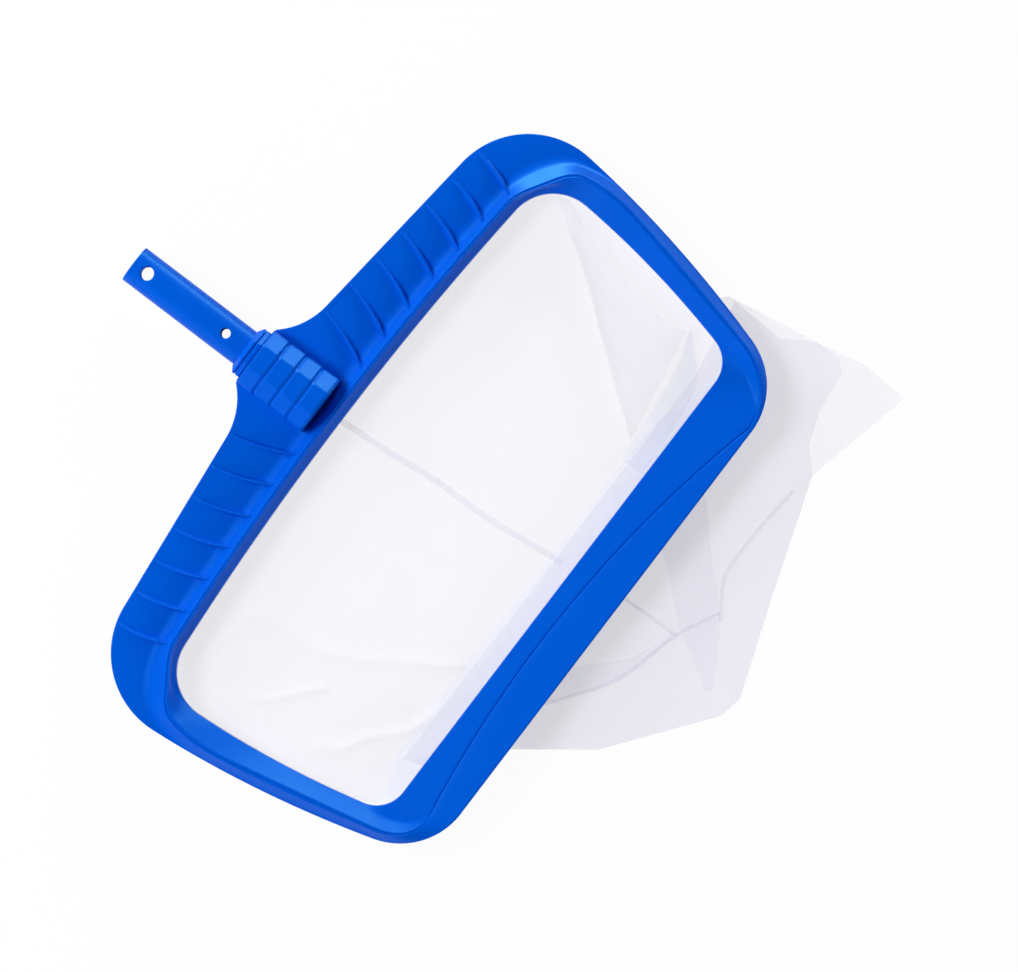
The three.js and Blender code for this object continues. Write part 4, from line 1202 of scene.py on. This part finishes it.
def polyline(points, count):
    """Points at equal steps along straight legs"""
    legs = np.linalg.norm(np.diff(points, axis=0), axis=1)
    way = np.concatenate([[0], np.cumsum(legs)])
    at = np.linspace(0, way[-1], count)
    return np.stack([np.interp(at, way, points[:, i]) for i in (0, 1)], -1)


def on_plan(plan, route):
    """A route in millimetres from the lip's leading edge as plan points in metres"""
    return np.array(route) * MM + [0, lip_edge_y(plan)]


def curve_on_plan(plan, route):
    """The same as a curve: each leg is a cubic whose end slopes follow its neighbours"""
    points = on_plan(plan, route)
    padded = np.vstack([2 * points[0] - points[1], points, 2 * points[-1] - points[-2]])
    before, start, end, after = (padded[i : len(padded) - 3 + i, None] for i in range(4))
    t = (np.arange(LEG_STEPS) / LEG_STEPS)[None, :, None]
    slope = (end - before) * t + (2 * before - 5 * start + 4 * end - after) * t**2
    curve = start + (slope + (3 * (start - end) + after - before) * t**3) / 2
    return np.vstack([curve.reshape(-1, 2), points[-1:]])


def ridge(x, y, route, width):
    """Height from 1 on a route to 0 beside it: a bell of the distance to the nearest leg"""
    here = np.stack([x, y], -1)[..., None, :]
    start, leg = route[:-1], np.diff(route, axis=0)
    t = np.clip(((here - start) * leg).sum(-1) / (leg**2).sum(-1), 0, 1)
    gap = np.linalg.norm(here - start - t[..., None] * leg, axis=-1).min(-1)
    return np.exp(-((gap / width) ** 2))


def ripple(x, y, seed, pitch):
    """Slow waves from -1 to 1: a sum of sines whose directions and phases come from a seed"""
    draw = np.random.default_rng(seed)
    total = 0
    for _ in range(WAVE_COUNT):
        turn, phase = draw.uniform(0, 2 * math.pi, 2)
        wave = 2 * math.pi / (pitch * draw.uniform(*WAVE_RANGE))
        total = total + np.sin(wave * (x * math.cos(turn) + y * math.sin(turn)) + phase)
    return total / WAVE_COUNT


def floor_outline(plan, handle, bag):
    """Cut of the lower panel: round under the ring from the left side to the right, then round the tail"""
    right = half_loop(plan, handle)
    left = mirrored(right)
    left = taken(left, (left.front == 0) & (left.along <= FLOOR_REACH[0]))
    right = taken(right, (right.front == 0) & (right.along <= FLOOR_REACH[1]))
    ring = joined_runs([left, taken(right, slice(1, None))])
    under = ring.inner + (ring.outer - ring.inner) * (bag.floor_tuck / ring.span)[:, None]
    tail = on_plan(plan, (RIGHT_CORNER, *TAIL_OUTLINE[-2:0:-1], LEFT_CORNER))
    return np.vstack([under, tail])


def on_floor(plan, spots):
    """Height of the lower panel over the surface it lies on: slow waves, never under it, and wrinkles"""
    x, y = spots[..., 0], spots[..., 1]
    height = FLOOR_LIFT
    for seed, pitch, rise in FLOOR_WAVES:
        height = height + rise * (1 + ripple(x, y, seed, pitch))
    for route, rise, width in WRINKLES:
        height = height + rise * MM * ridge(x, y, curve_on_plan(plan, route), width * MM)
    return height


def floor_patches(plan, line):
    """Lower panel: rings from its outline in to one middle point"""
    edge = polyline(np.vstack([line, line[:1]]), FLOOR_COLUMNS + 1)[:-1]
    way = np.linspace(1, 0, FLOOR_ROWS)[:-1, None, None]
    spots = FLOOR_MIDDLE + (edge - FLOOR_MIDDLE) * way
    points = raised(spots, on_floor(plan, spots))
    return [surface(points, closed_columns=True), ring_cap(points[-1])]


def upper_grid(plan, handle, bag):
    """Upper panel and its cut: straight lines from the neck under the hem to the tail's outline. It rises
    to a turn and falls from there to the edge of the lower panel, with slow waves between."""
    neck_y = plan.mouth_rear_y - plan.mouth_depth + bag.hem_lean - bag.hem_thickness - GAP
    front = stations(plan, handle, "front", NECK_ENDS)
    tail = polyline(on_plan(plan, UPPER_OUTLINE), UPPER_COLUMNS)
    neck_x = lerp(-front.inner[0, 0], front.inner[1, 0], np.linspace(0, 1, UPPER_COLUMNS))
    neck = np.stack([neck_x, np.full(UPPER_COLUMNS, neck_y)], -1)
    u = np.linspace(0, 1, UPPER_ROWS)[:, None]
    spots = lerp(neck, tail, u[..., None])
    turn_z = bag.neck_height + bag.neck_slope * bag.tail_seam * (neck_y - tail[:, 1])
    rising = lerp(bag.neck_height, turn_z, u / bag.tail_seam)
    falling = lerp(turn_z, bag.cloth + GAP, (u - bag.tail_seam) / (1 - bag.tail_seam))
    calm = np.clip(u / CALM_NECK, 0, 1) * np.clip((1 - u) / CALM_TAIL, 0, 1)
    waves = [rise * ripple(spots[..., 0], spots[..., 1], seed, pitch) for seed, pitch, rise in UPPER_WAVES]
    height = np.minimum(rising, falling) + calm * sum(waves)
    return raised(spots, height), np.vstack([neck, tail[::-1]])


def on_upper(upper, spots):
    """Height of the upper panel at plan spots: the mean of its nearest points, weighted by nearness"""
    known = upper[::UPPER_SPARSE, ::UPPER_SPARSE].reshape(-1, 3)
    gap = ((spots.reshape(-1, 1, 2) - known[:, :2]) ** 2).sum(-1)
    near = np.argpartition(gap, NEAREST, axis=1)[:, :NEAREST]
    weight = 1 / (np.take_along_axis(gap, near, 1) + LEAST_GAP)
    height = (known[near, 2] * weight).sum(1) / weight.sum(1)
    return height.reshape(spots.shape[:-1])


def ribbon(plan, route, width, rows):
    """Plan spots of a strip along a route: a few points across at each step"""
    path = polyline(curve_on_plan(plan, route), rows)
    along = unit(np.gradient(path, axis=0))
    across = np.stack([-along[:, 1], along[:, 0]], -1)
    return path[:, None] + across[:, None] * (np.linspace(-0.5, 0.5, SEAM_COLUMNS) * width)[:, None]


def layer(plan, routes, columns):
    """Plan spots of a folded layer: straight lines from one route to another"""
    left, right = (polyline(curve_on_plan(plan, route), FOLD_ROWS) for route in routes)
    return lerp(left[:, None], right[:, None], np.linspace(0, 1, columns)[:, None])


def hem_grid(sec, bag, run):
    """Hem: upright under the ring at rear and sides, leaning inwards along the lip by the hem's reach"""
    high = sec.bag_room - GAP
    low = bag.cloth + 2 * GAP
    x, reach = np.array(HEM_REACH).T * MM
    foot_d = blend(run, GAP, GAP, GAP - np.interp(run.inner[:, 0], x, reach))
    foot_z = blend(run, low, low, bag.neck_height + low)
    s = np.linspace(0, 1, HEM_ROWS)
    d = lerp(GAP, foot_d[:, None], s) - HEM_BULGE * np.sin(math.pi * s)
    return placed(run, np.stack([d, lerp(high, foot_z[:, None], s)], -1))


def seam_patches(plan, bag, upper):
    """Felled seams: narrow strips that lie on the lower and the upper panel"""
    inside = ribbon(plan, FLOOR_SEAM, bag.seam_width, SEAM_ROWS)
    strips = [raised(inside, on_floor(plan, inside) + SEAM_LIFT)]
    for route in TAIL_SEAMS:
        spots = ribbon(plan, route, TAIL_SEAM_SHARE * bag.seam_width, TAIL_SEAM_ROWS)
        strips.append(raised(spots, on_upper(upper, spots) + SEAM_LIFT))
    return [surface(points) for points in strips]


def hem_point_height(plan, sec, bag, spots):
    """Height of the hem's loose end, which comes down from the hem to the lower panel with an eased slope"""
    rows, columns = spots.shape[:2]
    hem_low = bag.neck_height + bag.cloth + 3 * GAP
    start = lerp(hem_low, sec.bag_room - 2 * GAP, np.linspace(0, 1, columns))
    down = smoothstep(np.linspace(0, 1, rows))[:, None]
    return lerp(start, on_floor(plan, spots) + POINT_LIFT, down)


# Operators

SHARP_ANGLE = math.radians(60)


class RAKE_OT_frame(bpy.types.Operator):
    """Builds the moulded scoop frame with its gussets and the lower half of the socket"""

    bl_idname = "rake.frame"
    bl_label = "Scoop frame"

    def execute(self, context):
        scene = context.scene
        plan, sec, handle = scene.rake_plan, scene.rake_section, scene.rake_handle
        run = full_loop(plan, handle)
        sections = rounded(ring_sections(plan, handle, sec, run), RING_RADII, RING_STEPS)
        patches = [surface(placed(run, sections), True, True)]
        for index in range(plan.gusset_count):
            for hand in (1, -1):
                patches += gusset_patches(plan, sec, index, hand)
        patches.append(cut_patches(cradle_patches(handle), pocket_patches(sec, handle)))
        piece = put_mesh("scoop_frame_moulding", patches)
        piece.data.set_sharp_from_angle(angle=SHARP_ANGLE)
        finish_piece(piece, moulded_plastic(scene.rake_colours), ["scoop_frame"])
        return {"FINISHED"}


class RAKE_OT_handle(bpy.types.Operator):
    """Builds the ribbed socket cover, the stepped collar and the pole spigot"""

    bl_idname = "rake.handle"
    bl_label = "Socket, collar and spigot"

    def execute(self, context):
        handle = context.scene.rake_handle
        plastic = bpy.data.materials["moulded blue polypropylene"]
        cover = put_mesh("ribbed_socket_cover", cover_patches(handle))
        finish_piece(cover, plastic, ["socket_cover"])
        collar = put_mesh("stepped_neck_collar", collar_patches(handle))
        finish_piece(collar, plastic, ["neck_collar"])
        tube = put_mesh("pole_spigot", tube_patches(handle))
        finish_piece(tube, plastic, ["handle_tube"])
        return {"FINISHED"}


class RAKE_OT_fasteners(bpy.types.Operator):
    """Dresses the clamp strips and builds the screws"""

    bl_idname = "rake.fasteners"
    bl_label = "Clamp strips and screws"

    def execute(self, context):
        scene = context.scene
        plastic = bpy.data.materials["moulded blue polypropylene"]
        steel = headed_steel(scene.rake_colours)
        for side in ("rear", "front", "right", "left"):
            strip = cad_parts[f"{side}_clamp_strip"]
            strip.data.materials.clear()
            strip.data.materials.append(plastic)
        for name, (nodes, *sizes) in screw_kinds(scene.rake_section, scene.rake_handle).items():
            patches = [patch for node in nodes for patch in screw_patches(node, *sizes)]
            finish_piece(put_mesh(name, patches), steel, nodes)
        return {"FINISHED"}


class RAKE_OT_bag(bpy.types.Operator):
    """Lays the mesh bag and hangs its hem"""

    bl_idname = "rake.bag"
    bl_label = "Mesh bag"

    def execute(self, context):
        scene = context.scene
        plan, sec, handle, bag = scene.rake_plan, scene.rake_section, scene.rake_handle, scene.rake_bag
        cloths = {kind: woven_net(scene.rake_colours, bag.thread, kind) for kind in CLOTHS}
        floor_line = floor_outline(plan, handle, bag)
        floor = put_mesh("bag_floor_panel", floor_patches(plan, floor_line))
        upper_points, upper_line = upper_grid(plan, handle, bag)
        upper = put_mesh("bag_upper_panel", [surface(upper_points)])
        self.hem(hem_grid(sec, bag, full_loop(plan, handle)), cloths["band"])
        seams = put_mesh("bag_felled_seams", seam_patches(plan, bag, upper_points))
        finish_piece(seams, cloths["tape"], solid=False)
        self.panel(floor, cloths["net"], ["net_floor_panel"], floor_line, [seams])
        self.panel(upper, cloths["net"], ["net_front_panel", "net_tail_panel"], upper_line)
        side = layer(plan, SIDE_FOLD, SIDE_COLUMNS)
        side_height = on_floor(plan, side) + SIDE_LIFT
        self.fold("bag_side_fold", side, side_height, cloths["doubled"], "mesh_fabric", "bag_floor_panel")
        for name, routes in (("bag_tail_fold", TAIL_FOLD), ("bag_bottom_fold", BOTTOM_FOLD)):
            spots = layer(plan, routes, TAIL_COLUMNS)
            height = on_upper(upper_points, spots) + TAIL_LIFT
            self.fold(name, spots, height, cloths["doubled"], "mesh_fabric", "bag_upper_panel")
        point = layer(plan, HEM_POINT, POINT_COLUMNS)
        height = hem_point_height(plan, sec, bag, point)
        self.fold("bag_hem_point", point, height, cloths["band"], "hem_fabric", "bag_floor_panel")
        return {"FINISHED"}

    def hem(self, points, material):
        """The hem as one piece of band cloth, in place of the hem's nodes"""
        piece = put_mesh("bag_hem", [surface(points, closed_rows=True)])
        finish_piece(piece, material, ["hem_band", "lip_hem", "hem_cord"], solid=False)

    def panel(self, piece, material, nodes, line, seams=()):
        """One panel of mesh; its plan line is not used"""
        finish_piece(piece, material, nodes, solid=False)

    def fold(self, name, spots, height, material, slot, below):
        """One folded layer from its plan spots and heights, just over the layer below; the name of the layer
        below is not used
        """
        piece = put_mesh(name, [surface(raised(spots, height))])
        finish_piece(piece, material, solid=False)


# Lamps: azimuth and elevation in degrees, distance, width and height in metres, power in watts
LAMPS = {
    "rear key": (116, 49, 2.4, 1.0, 0.8, 41),
    "rear low": (92, 22, 2.4, 1.4, 0.5, 19),
    "right low": (8, 12, 2.4, 1.6, 0.5, 33),
    "left low": (188, 12, 2.4, 1.6, 0.5, 15),
    "front low": (265, 22, 2.4, 2.0, 0.6, 14),
    "corner strip": (48, 10, 2.0, 1.6, 0.5, 300),
    "side strip": (0, 3, 2.0, 1.4, 0.18, 100),
}
# Lamps that give no gloss, and lamps that give gloss only and their colour
MATTE_LAMPS = ("right low",)
GLOSS_LAMPS = ("corner strip", "side strip")
STRIP_COLOUR = linear("#A8E8FF")
LAMP_AIM = np.array([0.0, -130, 20]) * MM
FLOOR_HALF = 3.0
FLOOR_DROP = 0.1 * MM
WHITE = (1, 1, 1, 1)
PAPER_WHITE = 0.95
# Camera: roll in degrees, size of a pixel, place over the floor and lens
CAMERA_ROLL = 52.72
PIXEL = 0.719 * MM
CAMERA_PLACE = (0.0358, -0.1712, 5.0)
SENSOR_WIDTH = 36
CLIP_END = 20


class RAKE_OT_stage(bpy.types.Operator):
    """Sets the floor, the studio light and the camera"""

    bl_idname = "rake.stage"
    bl_label = "Floor, light and camera"

    def execute(self, context):
        scene = context.scene
        scene.view_settings.view_transform = "Standard"
        corners = np.array([[-1, -1], [1, -1], [1, 1], [-1, 1]]) * FLOOR_HALF
        points = raised(corners, np.full(4, -FLOOR_DROP))
        floor = put_mesh("studio_floor", [(points, np.array([[0, 1, 2, 3]]))], turn=False)
        floor.data.materials.append(self.paper())
        for name, sizes in LAMPS.items():
            self.lamp(name, *sizes)
        self.sky(scene)
        self.camera(scene)
        return {"FINISHED"}

    def sky(self, scene):
        """A white room whose walls fade towards the ceiling; plain rays see it as white"""
        scene.world = bpy.data.worlds.new("studio")
        scene.world.use_nodes = True
        tree = scene.world.node_tree
        tree.nodes.clear()
        place = add(tree, "ShaderNodeTexCoord")
        rise = add(tree, "ShaderNodeSeparateXYZ", {"Vector": (place, "Generated")})
        walls = add(tree, "ShaderNodeMapRange", {
            "Value": (rise, "Z"), "From Min": 0.5, "From Max": 0.7, "To Min": 0.4, "To Max": 0.02,
        })
        seen = add(tree, "ShaderNodeMix", {0: (self.plain_rays(tree), 0), 2: (walls, "Result"), 3: 1.0})
        sky = add(tree, "ShaderNodeBackground", {"Color": WHITE, "Strength": (seen, 0)})
        add(tree, "ShaderNodeOutputWorld", {"Surface": (sky, "Background")})

    def paper(self):
        """White backing paper: it shows as white and keeps a soft shadow"""
        material, tree = new_material("white backing paper")
        matte = add(tree, "ShaderNodeBsdfDiffuse", {"Color": (0.85, 0.85, 0.85, 1)})
        glow = add(tree, "ShaderNodeEmission", {"Color": WHITE, "Strength": 1})
        rays = self.plain_rays(tree)
        part = add(tree, "ShaderNodeMath", {0: (rays, 0), 1: PAPER_WHITE}, operation="MULTIPLY")
        mixed = add(tree, "ShaderNodeMixShader", {0: (part, 0), 1: (matte, "BSDF"), 2: (glow, "Emission")})
        add(tree, "ShaderNodeOutputMaterial", {"Surface": (mixed, "Shader")})
        return material

    def plain_rays(self, tree):
        """A node that is 1 for rays from the camera, from gloss and through glass"""
        path = add(tree, "ShaderNodeLightPath")
        rays = {0: (path, "Is Camera Ray"), 1: (path, "Is Glossy Ray")}
        seen = add(tree, "ShaderNodeMath", rays, operation="MAXIMUM")
        rays = {0: (seen, 0), 1: (path, "Is Transmission Ray")}
        return add(tree, "ShaderNodeMath", rays, operation="MAXIMUM")

    def lamp(self, name, azimuth, elevation, distance, width, height, power):
        """A soft lamp of a width and a height that looks at the frame from an azimuth and an elevation"""
        data = bpy.data.lights.new(name, "AREA")
        data.shape = "RECTANGLE"
        data.size, data.size_y = width, height
        data.energy = power
        made = bpy.data.objects.new(name, data)
        bpy.context.collection.objects.link(made)
        turn, rise = math.radians(azimuth), math.radians(elevation)
        side = np.array([-math.sin(turn), math.cos(turn), 0])
        away = np.array([math.cos(turn) * math.cos(rise), math.sin(turn) * math.cos(rise), math.sin(rise)])
        facing = Matrix(np.column_stack([side, np.cross(away, side), away]).tolist()).to_4x4()
        made.matrix_world = Matrix.Translation(LAMP_AIM + distance * away) @ facing
        made.visible_glossy = name not in MATTE_LAMPS
        if name in GLOSS_LAMPS:
            made.visible_diffuse = False
            data.color = STRIP_COLOUR

    def camera(self, scene):
        """A long lens straight above, rolled so that the handle points to the upper left"""
        roll = math.radians(CAMERA_ROLL)
        data = bpy.data.cameras.new("camera")
        data.sensor_fit = "HORIZONTAL"
        data.sensor_width = SENSOR_WIDTH
        data.lens = SENSOR_WIDTH * CAMERA_PLACE[2] / (PHOTO_WIDTH * PIXEL)
        data.clip_end = CLIP_END
        made = bpy.data.objects.new("camera", data)
        bpy.context.collection.objects.link(made)
        right = np.array([math.cos(roll), -math.sin(roll), 0])
        up = np.array([math.sin(roll), math.cos(roll), 0])
        turn = Matrix(np.column_stack([right, up, [0, 0, 1]]).tolist()).to_4x4()
        made.matrix_world = Matrix.Translation(CAMERA_PLACE) @ turn
        scene.camera = made


class RAKE_PT_panel(bpy.types.Panel):
    """Lists the rake's pieces, sizes and colours"""

    bl_idname = "RAKE_PT_panel"
    bl_label = "Leaf rake"
    bl_space_type = "VIEW_3D"
    bl_region_type = "UI"
    bl_category = "Leaf rake"

    def draw(self, context):
        for operator in OPERATORS:
            self.layout.operator(operator.bl_idname)
        for pointer in POINTERS:
            group = getattr(context.scene, pointer)
            box = self.layout.box()
            for name in group.__annotations__:
                box.prop(group, name)


OPERATORS = (RAKE_OT_stage, RAKE_OT_frame, RAKE_OT_handle, RAKE_OT_fasteners, RAKE_OT_bag)
POINTERS = {
    "rake_plan": FramePlan,
    "rake_section": FrameSection,
    "rake_handle": HandleSizes,
    "rake_bag": BagSizes,
    "rake_colours": RakeColours,
}


def register():
    """Registers the sizes, the operators and the panel"""
    for group in POINTERS.values():
        bpy.utils.register_class(group)
    for kind in (*OPERATORS, RAKE_PT_panel):
        bpy.utils.register_class(kind)
    for pointer, group in POINTERS.items():
        setattr(bpy.types.Scene, pointer, PointerProperty(type=group))


def unregister():
    """Takes them out again"""
    for pointer in POINTERS:
        delattr(bpy.types.Scene, pointer)
    for kind in (RAKE_PT_panel, *reversed(OPERATORS), *reversed(POINTERS.values())):
        bpy.utils.unregister_class(kind)


def main():
    register()
    bpy.ops.rake.stage()
    bpy.ops.rake.frame()
    bpy.ops.rake.handle()
    bpy.ops.rake.fasteners()
    bpy.ops.rake.bag()


if __name__ == "__main__":
    main()
